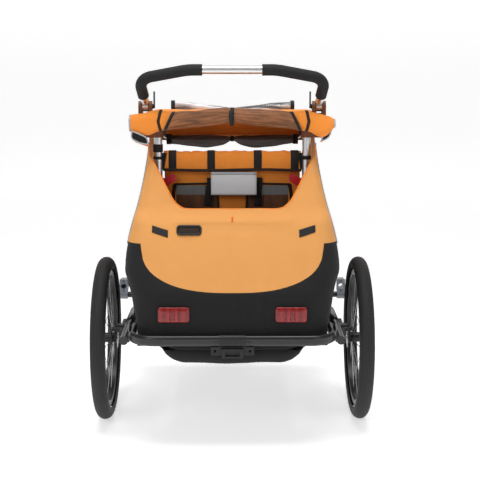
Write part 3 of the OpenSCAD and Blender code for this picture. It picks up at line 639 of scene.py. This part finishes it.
def cover_column(kind, t, count):
    """One column of the cover's right half, from its hem to its top edge."""
    if kind == "rear":
        low, high = rear_hem(t), opening_top(t)
    elif kind == "corner":
        low, high = rear_hem(1), corner_top(t)
    else:
        low, high = side_hem(-221 + 647 * t), side_top(-8 + 243 * t)
    points = []
    for z in steps(low, high, count):
        half, radius, rear = half_width(z), corner_r(z), rear_y(z)
        if kind == "rear":
            bow = 3 * math.cos(t * math.pi / 2)
            points.append((t * (half - radius), rear - bow * (1 if z < 600 else 0), z))
        elif kind == "corner":
            angle = t * math.pi / 2
            across, forward = radius * math.sin(angle), radius * (1 - math.cos(angle))
            points.append((half - radius + across, rear + forward, z))
        else:
            back = rear + radius
            belly = 2.5 * math.sin(math.pi * t) if z > 520 else 0
            y = back + (front_edge(z) - back) * t
            points.append((half + belly + hinge_bulge(y, z), y, z))
    return points


def cover_line_of_colour(x):
    """Height of the sewn line between orange and black at this distance from the middle."""
    reach = min(1.0, abs(x) / 257)
    return 575 - 127 * (1 - reach ** 2.5) ** (1 / 2.5)


def cover_folds(x, y, z):
    """Soft creases of the stretched cover."""
    height = 1.6 * ripple(x, y, z, 90, 3.1) + 0.8 * ripple(x, y, z, 35, 7.7)
    if y < -20:
        for side in (-1, 1):
            u = x * side
            height += 4.2 * ridge(u, z, (40, 648), (190, 655), 7)
            height += 3.6 * ridge(u, z, (150, 668), (235, 618), 8)
            height += 3.4 * ridge(u, z, (165, 690), (262, 640), 9)
            height += 3.0 * ridge(u, z, (215, 790), (262, 660), 7)
            height -= 2.6 * ridge(u, z, (228, 800), (250, 700), 6)
            height += 2.2 * ridge(u, z, (196, 455), (214, 560), 9)
        height -= 3.0 * ridge(x, z, (-215, 633), (215, 633), 4)
        for start, end in (((-52, 452), (-40, 512)), ((-18, 450), (-22, 500)), ((30, 450), (26, 520)),
                           ((66, 452), (74, 508)), ((104, 455), (112, 500))):
            height += 2.0 * ridge(x, z, start, end, 6)
        for start, end in (((-96, 378), (-90, 446)), ((-62, 372), (-66, 446)), ((14, 382), (20, 446)),
                           ((52, 376), (48, 446)), ((92, 370), (98, 446))):
            height += 2.4 * ridge(x, z, start, end, 7)
    return height


def build_cover():
    rear = [("rear", t) for t in steps(0, 1, 19)]
    corner = [("corner", t) for t in steps(0, 1, 8)[1:]]
    side = [("side", t) for t in steps(0, 1, 26)[1:]]
    right = [cover_column(kind, t, 46) for kind, t in rear + corner + side]
    left = [[(-x, y, z) for x, y, z in column] for column in reversed(right[1:])]
    cover = grid("cover", [[at(*p) for p in column] for column in left + right])
    subdivided(cover)
    displaced(cover, cover_folds)
    edge = [at(x, y, z) for x, y, z in (column[-1] for column in left[-25:] + right[:26])]
    thickened(cover, 1.6, inner=black_cloth)
    painted(cover, orange_cloth)
    tag_points(cover, "zone", lambda x, y, z: (z - cover_line_of_colour(x)) / 1000)
    return cover, edge


cover, opening_edge = build_cover()
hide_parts("rear_panel", "cover_side_left", "cover_side_right", "tub_rear")
cover_tree = BVHTree.FromPolygons(
    [v.co for v in cover.data.vertices], [p.vertices for p in cover.data.polygons]
)
hem = round_cord("opening_hem", smooth_path(opening_edge, 2), 2.2)
painted(hem, bright_cloth)
crosses_fold(hem)


def on_cover(x, z, lift=0.8):
    """The point on the cover's rear face at this x and height, lifted off it."""
    hit, normal, _, _ = cover_tree.ray_cast(at(x, -500, z), Vector((0, 1, 0)))
    return hit - Vector((0, 1, 0)) * lift / 1000 if normal.y > 0 else hit + normal * lift / 1000


def patch(name, corners, material, bulge=0.0, cells=9, lift=1.2):
    """A sewn patch on the cover; corners are (x, z) from the lower left, the other way round the clock."""
    (ax, az), (bx, bz), (cx, cz), (dx, dz) = corners
    rows = []
    for v in steps(0, 1, cells):
        row = []
        for u in steps(0, 1, 2 * cells):
            x = blend_value(blend_value(ax, bx, u), blend_value(dx, cx, u), v)
            z = blend_value(blend_value(az, bz, u), blend_value(dz, cz, u), v)
            crown = bulge * min(1, 6 * u, 6 * (1 - u)) * min(1, 4 * v, 4 * (1 - v))
            row.append(on_cover(x, z, lift + crown))
        rows.append(row)
    made = thickened(grid(name, rows), 1.2)
    painted(made, material)
    return crosses_fold(made)


def rounded_outline(x1, x2, z1, z2, r, count=6):
    """Corner-rounded rectangle as a loop of (x, z)."""
    loop = []
    corners = ((x2 - r, z2 - r, 0), (x1 + r, z2 - r, 90), (x1 + r, z1 + r, 180), (x2 - r, z1 + r, 270))
    for cx, cz, first in corners:
        for a in steps(first, first + 90, count):
            loop.append((cx + r * math.cos(math.radians(a)), cz + r * math.sin(math.radians(a))))
    return loop


patch("patch_left", [(-227, 606), (-182, 592), (-182, 611), (-227, 624)], webbing)
patch("patch_right", [(189, 592), (235, 606), (235, 625), (189, 612)], webbing)
patch("badge_blank", [(-152, 603), (-93, 601), (-93, 619), (-152, 621)], binding, bulge=1.0)
badge_line = [on_cover(x, z, 1.8) for x, z in rounded_outline(-155, -90, 600, 622, 6)]
badge_rim = round_cord("badge_rim", badge_line, 3.2, closed=True)
painted(badge_rim, slot_finish["black_plastic"])
crosses_fold(badge_rim)
patch("seam_tag", [(-2.5, 634), (2.5, 634), (2.5, 645), (-2.5, 645)], red_tag, cells=4)

for name, sign in (("left", -1), ("right", 1)):
    line = []
    for z in steps(845, 566, 40):
        line.append(at(sign * (half_width(z) + 2.2), rear_y(z) + corner_r(z) + 14, z))
    piping = round_cord(f"cover_piping_{name}", line, 2.4)
    painted(piping, piping_grey)
    crosses_fold(piping)
    front_line = []
    for z in steps(846, 412, 40):
        front_line.append(at(sign * (half_width(z) + 1), front_edge(z) - 2, z))
    front_hem = round_cord(f"cover_front_hem_{name}", front_line, 3)
    painted(front_hem, webbing)
    crosses_fold(front_hem)


# ---- tub: sides and nose, floor with the luggage bag under it ----

nose_y = through((288, 386), (312, 388), (352, 444), (400, 449))


def build_tub():
    radius = 34
    columns = []
    for t in steps(0, 1, 26):
        column = []
        for z in steps(0, 1, 14):
            y_top = -216 + (447 - radius + 216) * t
            top = 468 if y_top < 60 else blend_value(468, 393, (y_top - 60) / 353)
            low = 301 if y_top < -100 else 289
            height = blend_value(low, top, z)
            column.append((267, -216 + (nose_y(height) - radius + 216) * t, height))
        columns.append(column)
    for a in steps(0, math.pi / 2, 7)[1:]:
        columns.append([
            (267 - radius + radius * math.cos(a), nose_y(h) - radius + radius * math.sin(a), h)
            for h in steps(289, 393 - 2 * a, 14)
        ])
    for t in steps(0, 1, 16)[1:]:
        columns.append([((267 - radius) * (1 - t), nose_y(h), h) for h in steps(289, 390, 14)])
    left = [[(-x, y, z) for x, y, z in column] for column in reversed(columns[:-1])]
    whole = [[at(*p) for p in column] for column in columns + left]
    tub = subdivided(grid("tub_liner", whole))
    displaced(tub, lambda x, y, z: 1.4 * ripple(x, y, z, 70, 1.9) + 0.6 * ripple(x, y, z, 28, 5.2))
    thickened(tub, 2.4)
    painted(tub, black_cloth)
    rim = round_cord("tub_rim", [column[-1] for column in whole], 3.4)
    painted(rim, webbing)
    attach(rim, "frame")
    return tub


tub = build_tub()
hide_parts("tub_side_left", "tub_side_right", "tub_front")
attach(tub, "frame")


def build_floor():
    """The floor cloth, with the bag that hangs below it behind the axles."""
    across = through((0, 1), (130, 1), (165, 0.75), (196, 0.16), (210, 0))
    along = through((-303, 0), (-299, 0.5), (-288, 0.97), (-270, 1), (-120, 1), (-82, 0.3), (-70, 0))
    rows = []
    for y in [*steps(-303, -270, 8), *steps(-262, -60, 18), *steps(-48, 384, 20)]:
        row = []
        for x in steps(-266, 266, 55):
            sag = across(abs(x)) * along(y)
            lobes = 1 + 0.06 * math.cos(x / 34)
            raised = 14 * min(1, max(0, (abs(x) - 188) / 14)) * min(1, max(0, (-y - 70) / 40))
            row.append(at(x, y, 286 - 41 * sag * lobes + raised))
        rows.append(row)
    floor = grid("floor_bag", rows)
    displaced(floor, lambda x, y, z: (2.2 if z < 280 else 0.8) * ripple(x, y, z, 55, 4.4))
    thickened(floor, 2.4)
    painted(floor, black_cloth)
    return floor


floor_bag = build_floor()
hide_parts("floor_panel")
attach(floor_bag, "frame")


# ---- reflectors: moulded red lenses with rounded ends ----

def build_reflector(name, sign):
    low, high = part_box("rear_reflectors")
    back = (low.y - AXLE_Y) * 1000
    x1, x2 = high.x * 1000 - 88, high.x * 1000
    z1, z2 = low.z * 1000, high.z * 1000
    rows = []
    for inset, y in ((0, back + 7), (0, back + 3), (1.2, back + 0.8), (4, back), (14, back - 0.4)):
        loop = rounded_outline(x1 + inset, x2 - inset, z1 + inset, z2 - inset, 7 - min(inset, 5))
        rows.append([at(sign * x, y, z) for x, z in loop])
    lens = grid(f"reflector_{name}", rows, ring=True, capped=True)
    ribs = []
    for x in (x1 + 30, x1 + 42, x1 + 54):
        line = [at(sign * x, back - 0.2, z) for z in (z1 + 6, z2 - 6)]
        ribs.append(round_cord("rib", line, 1.3))
    lens = merged(f"reflector_{name}", [lens, *ribs])
    painted(lens, reflector)
    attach(lens, "frame")
    return lens


lens_left = build_reflector("left", -1)
lens_right = build_reflector("right", 1)
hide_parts("rear_reflectors")
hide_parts("rear_reflectors")


# ---- roof ----

def build_roof():
    profile = smooth_path([
        Vector((0, -24, 939)), Vector((0, 10, 942)), Vector((0, 60, 941.5)), Vector((0, 110, 936)),
        Vector((0, 152, 923)), Vector((0, 196, 896)), Vector((0, 226, 868)), Vector((0, 236, 841))
    ], 5)
    rows = []
    for point in profile:
        row = []
        for x in steps(-246, 246, 52):
            edge = max(0.0, (abs(x) - 226) / 20)
            drop = 17 * (1 - math.sqrt(max(0.0, 1 - edge ** 2)))
            back_to_front = min(1, max(0, (point.y + 24) / 240))
            sag = 2.5 * math.sin(math.pi * (x + 246) / 492) * math.sin(math.pi * back_to_front)
            row.append(at(x, point.y, point.z - drop - sag))
        rows.append(row)
    roof = subdivided(grid("roof", rows))
    displaced(roof, lambda x, y, z: 1.6 * ripple(x, y, z, 80, 2.3) + 0.7 * ripple(x, y, z, 30, 6.1))
    thickened(roof, 1.8, inner=lining)
    painted(roof, bright_cloth)
    rim = round_cord("roof_rim", rows[-1], 3)
    painted(rim, webbing)
    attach(rim, "cage")
    return roof


roof = build_roof()
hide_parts("roof_cover")
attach(roof, "cage")


# ---- rolls on the cage ----

def roll_ring(x, y, low, high, depth, seed, folds=0.05, slant=0.0, sides=RING_SIDES):
    """One ring of a soft roll that runs along X; slant pushes its top towards the middle."""
    middle, half = (low + high) / 2, (high - low) / 2
    ring = []
    for k in range(sides):
        a = 2 * math.pi * k / sides
        uneven = 0.9 * folds * ripple(x, 60 * a, seed * 50, 45, seed)
        wander = 1 + folds * math.sin(3 * a + x / 37 + seed) + uneven
        flat = 0.82
        dy = math.copysign(abs(math.cos(a)) ** flat, math.cos(a)) * depth * wander
        dz = math.copysign(abs(math.sin(a)) ** flat, math.sin(a)) * half * min(wander, 1.03)
        ring.append((x - slant * dz, y + dy, middle + dz))
    return ring


def tag_folds(roll, middle_y, low, high):
    """Folds that run along a roll and draw together where it is tied; the nets paint their shade and
    highlight along them.
    """
    def fold(x, y, z):
        half = (high(x) - low(x)) / 2
        turn = math.atan2((z - low(x) - half) / half, (y - middle_y) / 20)
        wide = 0.9 * ripple(x * 0.22, 60 * turn, 0, 12, 1.7)
        return 0.5 + wide + 0.3 * ripple(x * 0.5, 60 * turn, 0, 6, 4.3)
    tag_points(roll, "fold", fold)


def soft_roll(name, ring_at, ends, count, material, closed=True):
    rows = [[at(*p) for p in ring_at(x)] for x in steps(*ends, count)]
    roll = subdivided(grid(name, rows, ring=True, capped=closed))
    painted(roll, material)
    return roll


def around(name, ring, scale, width, thickness, material):
    """A strap round a roll, lying just outside the ring of points."""
    middle = sum((Vector(p) for p in ring), Vector()) / len(ring)
    path = [at(*(middle + (Vector(p) - middle) * scale)) for p in ring]
    rows = []
    edge = width / 2
    for offset, half in ((0, edge), (thickness, edge * 0.9), (thickness, -edge * 0.9), (0, -edge)):
        centre = at(*middle)
        rows.append([
            p + (p - centre).normalized() * offset / 1000 + Vector((half / 1000, 0, 0)) for p in path
        ])
    made = grid(name, [*rows, rows[0]], ring=True)
    painted(made, material)
    return made


bundle_top = through((-299, 929), (-262, 938), (-211, 943), (-150, 940), (-60, 940), (60, 940), (150, 940),
                     (211, 943), (250, 935), (284, 925), (299, 916))
bundle_low = through((-299, 884), (-270, 874), (-246, 870), (-222, 881), (-177, 888), (-70, 908), (0, 916),
                     (70, 908), (181, 889), (228, 882), (262, 862), (282, 872), (299, 894))


def bundle_ring(x):
    tight = 22 if abs(x) < 178 else 27
    ends = 1 - 0.25 * max(0.0, (abs(x) - 270) / 29)
    return roll_ring(x, BUNDLE_Y, bundle_low(x), bundle_top(x), tight * ends, 1.3, 0.06)


def build_bundle():
    """Rolled upper cover: a soft open tube whose ends show the dark inside."""
    rings = [bundle_ring(x) for x in steps(-HALF_BUNDLE, HALF_BUNDLE, 61)]
    mouths = []
    for x in (-HALF_BUNDLE, HALF_BUNDLE):
        ring = bundle_ring(x)
        middle = sum((Vector(p) for p in ring), Vector()) / len(ring)
        mouths.append([
            [middle + (Vector(p) - middle) * s + Vector((-math.copysign(d, x), 0, 0)) for p in ring]
            for s, d in ((0.9, 1), (0.8, 14), (0.62, 26), (0.2, 30))
        ])
    rows = [*reversed(mouths[0]), *rings, *mouths[1]]
    bundle = grid("rolled_flap", [[at(*p) for p in row] for row in rows], ring=True, capped=True)
    bundle.data.materials.append(bright_cloth)
    bundle.data.materials.append(black_cloth)
    for face in bundle.data.polygons:
        row = min(i // RING_SIDES for i in face.vertices)
        if row < 4 or row >= len(rows) - 5:
            face.material_index = 1
    subdivided(bundle)
    displaced(bundle, lambda x, y, z: 2.2 * ripple(x, y, z, 46, 8.8) + 1.1 * ripple(x, y, z, 20, 3.7))
    return bundle


bundle = build_bundle()
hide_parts("rolled_cover")
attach(bundle, "cage")

for name, x in (("left", -HALF_BUNDLE), ("right", HALF_BUNDLE)):
    mouth = round_cord(f"flap_piping_{name}", [at(*p) for p in bundle_ring(x)], 2.6, closed=True)
    painted(mouth, piping_grey)
    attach(mouth, "cage")

for name, x in (("left", -215), ("right", 223)):
    ring = [(px + math.copysign((pz - 912) * 0.22, -x), py, pz) for px, py, pz in bundle_ring(x)]
    stripe = around(f"flap_binding_{name}", ring, 1.035, 9, 1.2, binding)
    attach(stripe, "cage")


def flap_corner(name, corners, lip):
    """Loose corner of the rolled flap: dark inside, orange lip and grey piping round it."""
    loop = smooth_path([Vector(c) for c in [*corners, corners[0]]], 4)
    middle = sum((Vector(c) for c in corners), Vector()) / len(corners)
    rows = [[at(*(middle + (p - middle) * s)) for p in loop[:-1]] for s in (1.0, 0.6, 0.2, 0.02)]
    pocket = thickened(grid(f"flap_pocket_{name}", rows, ring=True, capped=False), 1.5)
    painted(pocket, black_cloth)
    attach(pocket, "cage")
    rim = round_cord(f"flap_pocket_piping_{name}", [at(*p) for p in loop[:-1]], 2.2, closed=True)
    painted(rim, piping_grey)
    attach(rim, "cage")
    upper, lower = [Vector(p) for p in lip[:2]], [Vector(p) for p in lip[2:]]
    rows = []
    for t in steps(0, 1, 6):
        row = []
        for u in steps(0, 1, 10):
            p = upper[0].lerp(upper[1], u).lerp(lower[0].lerp(lower[1], u), t)
            p.y += 7 * math.sin(math.pi * t) + 2 * math.sin(9 * u)
            row.append(at(*p))
        rows.append(row)
    lip_sheet = thickened(subdivided(grid(f"flap_lip_{name}", rows)), 1.6)
    painted(lip_sheet, bright_cloth)
    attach(lip_sheet, "cage")


flap_corner("left", [(-292, -84, 884), (-290, -82, 860), (-250, -80, 846), (-252, -82, 866)],
            [(-290, -80, 862), (-248, -78, 848), (-284, -74, 852), (-246, -72, 838)])
flap_corner("right", [(290, -74, 888), (282, -72, 866), (262, -72, 856), (268, -74, 872)],
            [(284, -70, 868), (262, -68, 858), (276, -64, 858), (258, -62, 850)])

net_top = through((-188, 937), (-155, 941), (-60, 948), (-16, 951), (0, 947), (16, 951), (60, 948),
                  (164, 941), (190, 937))
net_low = through((-188, 884), (-172, 888), (-70, 899), (-16, 906), (0, 910), (16, 906), (70, 899),
                  (181, 888), (190, 884))
net_depth = through((-188, 27), (-60, 26), (0, 17), (60, 26), (190, 27))


def net_ring(x):
    slant = 0.5 * math.copysign(min(1, abs(x) / 188) ** 4, x)
    return roll_ring(x, NET_Y, net_low(x), net_top(x), net_depth(x), 2.9, 0.05, slant)


flap_net = soft_roll("flap_net_roll", net_ring, (-186, 188), 56, brown_net)
displaced(flap_net, lambda x, y, z: 2.0 * ripple(x * 0.35, y, z, 16, 5.5) * min(1, abs(x) / 30 + 0.3))
tag_folds(flap_net, NET_Y, net_low, net_top)
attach(flap_net, "cage")
for name, x in (("left", -184), ("right", 186)):
    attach(around(f"net_border_{name}", net_ring(x), 1.03, 10, 1.6, webbing), "cage")
tie = around("centre_tie", net_ring(0), 1.05, 10, 2.4, webbing)
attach(tie, "cage")
tie_path = [at(-3, -87, 944), at(-4, -91, 926), at(-2, -90, 908), at(0, -86, 900)]
tie_end = strap("centre_tie_end", tie_path, 12, 1.8)
painted(tie_end, webbing)
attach(tie_end, "cage")

film_top = through((-184, 966), (-120, 961), (-12, 948), (0, 946), (12, 948), (120, 961), (187, 966))
film_depth = through((-184, 12), (0, 7), (187, 12))


def film_ring(x):
    return roll_ring(x, WINDOW_Y, 936, film_top(x), film_depth(x), 0.7, 0.1)


window_roll = soft_roll("clear_window_roll", film_ring, (-184, 187), 50, film)
displaced(window_roll, lambda x, y, z: 1.8 * ripple(x * 0.4, y, z, 18, 9.1))
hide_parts("clear_roll")
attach(window_roll, "cage")
for name, x in (("left", -179), ("right", 182)):
    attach(around(f"window_border_{name}", film_ring(x), 1.08, 12, 2.2, webbing), "cage")
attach(around("window_tie", film_ring(0), 1.1, 14, 2, webbing), "cage")

screen_top = through((-207, 857), (-90, 858), (-10, 853), (0, 851), (10, 853), (90, 858), (207, 857))
screen_low = through((-207, 832), (-140, 823), (-80, 817), (-28, 825), (0, 839), (28, 825), (80, 817),
                     (140, 823), (207, 832))
screen_depth = through((-207, 9), (-80, 13), (0, 6), (80, 13), (207, 9))


def screen_ring(x):
    return roll_ring(x, SCREEN_Y, screen_low(x), screen_top(x), screen_depth(x), 4.1, 0.07)


screen = soft_roll("screen_roll", screen_ring, (-207, 207), 56, dark_net)
displaced(screen, lambda x, y, z: 1.8 * ripple(x * 0.35, y, z, 15, 2.2))
tag_folds(screen, SCREEN_Y, screen_low, screen_top)
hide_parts("mesh_roll")
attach(screen, "cage")
for name, x in (("left", -200), ("right", 200)):
    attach(around(f"screen_border_{name}", screen_ring(x), 1.1, 16, 2, webbing), "cage")
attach(around("screen_tie", screen_ring(0), 1.15, 12, 2, webbing), "cage")


# ---- seat back ----

seat_y = through((392, 75), (700, 31), (760, 29))


def seat_zone(x, y, z):
    """Above zero inside the two net windows of the seat back."""
    side = abs(x) - 40
    return min(side - 5, 172 - abs(x), 714 - z, z - 560) / 1000


def build_seat_back():
    rows = []
    for z in steps(394, 764, 60):
        billow = 4 * math.sin(math.pi * (z - 394) / 370)
        rows.append([at(x, seat_y(z) + billow * math.cos(x / 66) * 0.5, z) for x in steps(-205, 205, 83)])
    panel = grid("seat_back_panel", rows)
    displaced(panel, lambda x, y, z: 1.2 * ripple(x, y, z, 60, 6.6))
    panel.data.materials.append(bright_cloth)
    panel.data.materials.append(net_window)
    for face in panel.data.polygons:
        if seat_zone(*from_axles(face.center)) > 0:
            face.material_index = 1
    thickened(panel, 2.0)
    return panel


seat_panel = build_seat_back()
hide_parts("seat_back")
crosses_fold(seat_panel, *SEAT_FOLD)

sleeve_profile = smooth_path([
    Vector((0, 5, 760)), Vector((0, 2, 785)), Vector((0, 3, 804)), Vector((0, 9, 816)), Vector((0, 18, 818)),
    Vector((0, 27, 811)), Vector((0, 32, 790)), Vector((0, 31, 764))
], 4)


def build_sleeve():
    """Top band of the seat back, gathered round its cross bar."""
    rows = []
    for point in sleeve_profile:
        row = []
        for x in steps(-206, 206, 110):
            towards_bar = max(0, (point.z - 758) / 60)
            gather = 1.5 * math.sin(x / 4.6 + 2 * ripple(x, 0, point.z, 60, 1.1)) * towards_bar
            row.append(at(x, point.y, point.z + gather * 0.6))
        rows.append(row)
    sleeve = grid("seat_back_sleeve", rows)
    displaced(sleeve, lambda x, y, z: (
        1.8 * ripple(x * 1.6, y, z * 0.5, 34, 2.9) + 0.9 * ripple(x * 2, y, z, 16, 4.9)))
    thickened(sleeve, 2)
    painted(sleeve, bright_cloth)
    return sleeve


sleeve = build_sleeve()
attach(sleeve, "cage")

upper_piping = round_cord("seat_piping_upper", [
    at(x, 1.5, 763 + 1.2 * math.sin(x / 50)) for x in steps(-208, 208, 60)], 4.2)
painted(upper_piping, binding)
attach(upper_piping, "cage")
lower_piping = round_cord("seat_piping_lower", [
    at(x, 26, 717 + 3 * (1 - (abs(x) / 180) ** 2)) for x in steps(-176, 176, 50)], 3.2)
painted(lower_piping, binding)
crosses_fold(lower_piping, *SEAT_FOLD)
for name, sign in (("left", -1), ("right", 1)):
    edge_piping = round_cord(f"window_piping_{name}", [
        at(sign * x, seat_y(z) - 4, z) for x, z in ((45, 716), (45, 690), (43, 640), (41, 562))], 3.4)
    painted(edge_piping, binding)
    crosses_fold(edge_piping, *SEAT_FOLD)
    outer_piping = round_cord(f"window_edge_{name}", [
        at(sign * x, seat_y(z) - 4, z) for x, z in ((174, 716), (178, 690), (182, 640), (184, 562))], 5)
    painted(outer_piping, webbing)
    crosses_fold(outer_piping, *SEAT_FOLD)
    gusset_rows = []
    for t in steps(0, 1, 6):
        inner, outer, height = blend_value(196, 205, t), blend_value(213, 210, t), blend_value(815, 764, t)
        gusset_rows.append([at(sign * blend_value(inner, outer, u), 0, height) for u in steps(0, 1, 5)])
    gusset = thickened(grid(f"seat_gusset_{name}", gusset_rows), 2)
    painted(gusset, black_cloth)
    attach(gusset, "cage")

band_path = [
    Vector((0, p.y + (-2.2 if p.y < 14 else 2.2), p.z + (2.2 if p.z > 800 else 0))) for p in sleeve_profile
]
for index, (x, width) in enumerate(((-179.5, 23), (-63.5, 23), (76.5, 24), (187.5, 24))):
    band = strap(f"seat_band_{index + 1}", [at(x, p.y, p.z) for p in band_path], width, 2)
    painted(band, webbing)
    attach(band, "cage")

for name, x1, x2 in (("left", -66, -76), ("right", 80, 77)):
    path = smooth_path([at(x1, 22, 738), at(x1, 20, 715), at((x1 + x2) / 2, 18, 690), at(x2, 20, 652)], 4)
    tail = strap(f"strap_tail_{name}", path, 22, 2)
    painted(tail, webbing)
    crosses_fold(tail, *SEAT_FOLD)


# ---- blank label pocket in the middle of the seat back ----

label_rows = []
for z in steps(752, 688, 12):
    label_rows.append([
        at(x, -3 - 2 * math.sin(math.pi * (x + 64) / 137) - 0.02 * (752 - z), z)
        for x in steps(-64, 73, 20)
    ])
label = thickened(grid("blank_label", label_rows), 1)
painted(label, paper)
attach(label, "cage")
label_edge = strap("label_edge", [at(x, -5, 753) for x in steps(-64, 73, 20)], 9, 1.6, Vector((0, 0, 1)))
painted(label_edge, piping_grey)
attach(label_edge, "cage")


# ---- front harness and seat cushion ----

harness_path = smooth_path(
    [at(0, 36, 802), at(0, 39, 770), at(0, 41, 700), at(0, 60, 560), at(0, 84, 410)], 6)
harness_pieces = []
for seat in (-1, 1):
    for side in (-1, 1):
        shift = Vector(((seat * 126 + side * 56) / 1000, 0, 0))
        harness_pieces.append(strap("web", [p + shift for p in harness_path], 25, 2))
        pad = [p + shift + Vector((0, 0.003, 0)) for p in harness_path[13:20]]
        harness_pieces.append(strap("pad", pad, 38, 6))
harness = merged("harness_webbing", harness_pieces)
painted(harness, webbing)
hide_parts("harness")
crosses_fold(harness, *SEAT_FOLD)


def build_cushion():
    """Bench cushion for two, crowned over each seat and drawn in at its seams."""
    outline = []
    for k in range(72):
        a = 2 * math.pi * k / 72
        cx = math.copysign(abs(math.cos(a)) ** 0.22, math.cos(a)) * 262
        cy = math.copysign(abs(math.sin(a)) ** 0.3, math.sin(a)) * 104
        outline.append((cx, 192 + cy))
    rows = []
    for height, inset in ((374, 0.94), (375, 0.985), (379, 1.0), (384, 0.997), (387, 0.97),
                          (389, 0.9), (390, 0.75), (390, 0.55), (389.5, 0.3), (389, 0.05)):
        row = []
        for x, y in outline:
            px, py = x * inset, 192 + (y - 192) * inset
            crown = 0
            if height > 385:
                crown = 4.5 * math.sin(math.pi * min(1, abs(px) / 262)) - 5 * math.exp(-((px / 10) ** 2))
                crown -= 2.0 * math.exp(-(((py - 150) / 7) ** 2)) + 2.0 * math.exp(-(((py - 225) / 7) ** 2))
            row.append(at(px, py, height + crown))
        rows.append(row)
    cushion = subdivided(grid("seat_cushion", rows, ring=True, capped=True))
    displaced(cushion, lambda x, y, z: 0.8 * ripple(x, y, z, 50, 3.3))
    painted(cushion, black_cloth)
    return cushion


cushion = build_cushion()
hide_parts("seat_base")
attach(cushion, "frame")


# ---- small trim on the hoop ----

def hoop_strap(name, x, z, height, radius=14.6):
    rows = []
    for dz in (-height / 2, -height / 2 + 1.5, height / 2 - 1.5, height / 2):
        r = radius if abs(dz) < height / 2 else radius - 1.5
        rows.append([
            at(x + r * math.cos(a), r * math.sin(a), z + dz)
            for a in (2 * math.pi * k / 28 for k in range(28))
        ])
    made = grid(name, rows, ring=True, capped=True)
    painted(made, webbing)
    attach(made, "cage")


hoop_strap("hoop_strap_left", -222, 829, 24)
hoop_strap("hoop_strap_low_left", -222, 800, 9)
hoop_strap("hoop_strap_right", 222, 801, 12)


# ---- tyres ----

def build_tyre(name):
    """Round tyre with a block tread; U counts blocks round it and V across it."""
    low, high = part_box(f"tyre_{name}")
    middle = (low + high) / 2
    section = (high.x - low.x) / 2
    ring_r = (high.z - low.z) / 2 - section
    around_count, across_count = 120, 26
    blocks = 2 * round(math.pi * (ring_r + section) / 0.0135)
    vertices, faces, uvs, treads = [], [], [], []
    for i in range(around_count + 1):
        turn = 2 * math.pi * i / around_count
        for j in range(across_count + 1):
            a = math.radians(-128 + 256 * j / across_count)
            r = ring_r + section * math.cos(a)
            out = Vector((section * math.sin(a), r * math.cos(turn), r * math.sin(turn)))
            vertices.append(middle + out)
            uvs.append((blocks * i / around_count, section * a / 0.0086))
            treads.append(max(0.0, min(1.0, (1.25 - abs(a)) / 0.12)))
    width = across_count + 1
    for i in range(around_count):
        for j in range(across_count):
            faces.append((i * width + j, i * width + j + 1, (i + 1) * width + j + 1, (i + 1) * width + j))
    mesh = bpy.data.meshes.new(f"tyre_tread_{name}")
    mesh.from_pydata([tuple(v) for v in vertices], [], faces)
    layer = mesh.uv_layers.new(name="tread_map")
    for loop in mesh.loops:
        layer.data[loop.index].uv = uvs[loop.vertex_index]
    held = mesh.attributes.new("tread", "FLOAT", "POINT")
    held.data.foreach_set("value", treads)
    mesh.polygons.foreach_set("use_smooth", [True] * len(mesh.polygons))
    tyre = bpy.data.objects.new(f"tyre_tread_{name}", mesh)
    bpy.context.collection.objects.link(tyre)
    painted(tyre, tread)
    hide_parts(f"tyre_{name}")
    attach(tyre, f"wheel_{name}")


build_tyre("left")
build_tyre("right")


# ---- cover's placement baked into its points, once everything on it is in place ----

crosses_fold(cover)


# ---- floor of the studio ----

def build_stage():
    """White floor that curves up into a backdrop."""
    rows = []
    for y, z in [(-9, 0), (5, 0), (7, 0.15), (8.2, 0.9), (8.7, 2.2), (8.8, 7)]:
        rows.append([Vector((x, y, z)) for x in steps(-12, 12, 9)])
    stage = subdivided(grid("studio_floor", rows), 2)
    low = min(v.co.z for v in stage.data.vertices)
    for v in stage.data.vertices:
        v.co.z -= low
    finish = Finish("studio_white", 0.9)
    finish.colour(finish.mix(finish.grain(3, 2), (0.9, 0.9, 0.9, 1), (0.93, 0.93, 0.93, 1)))
    finish.shader.inputs["Emission Color"].default_value = (1, 1, 1, 1)
    finish.shader.inputs["Emission Strength"].default_value = FLOOR_GLOW
    painted(stage, finish.material)


build_stage()
place_camera()
light_studio()
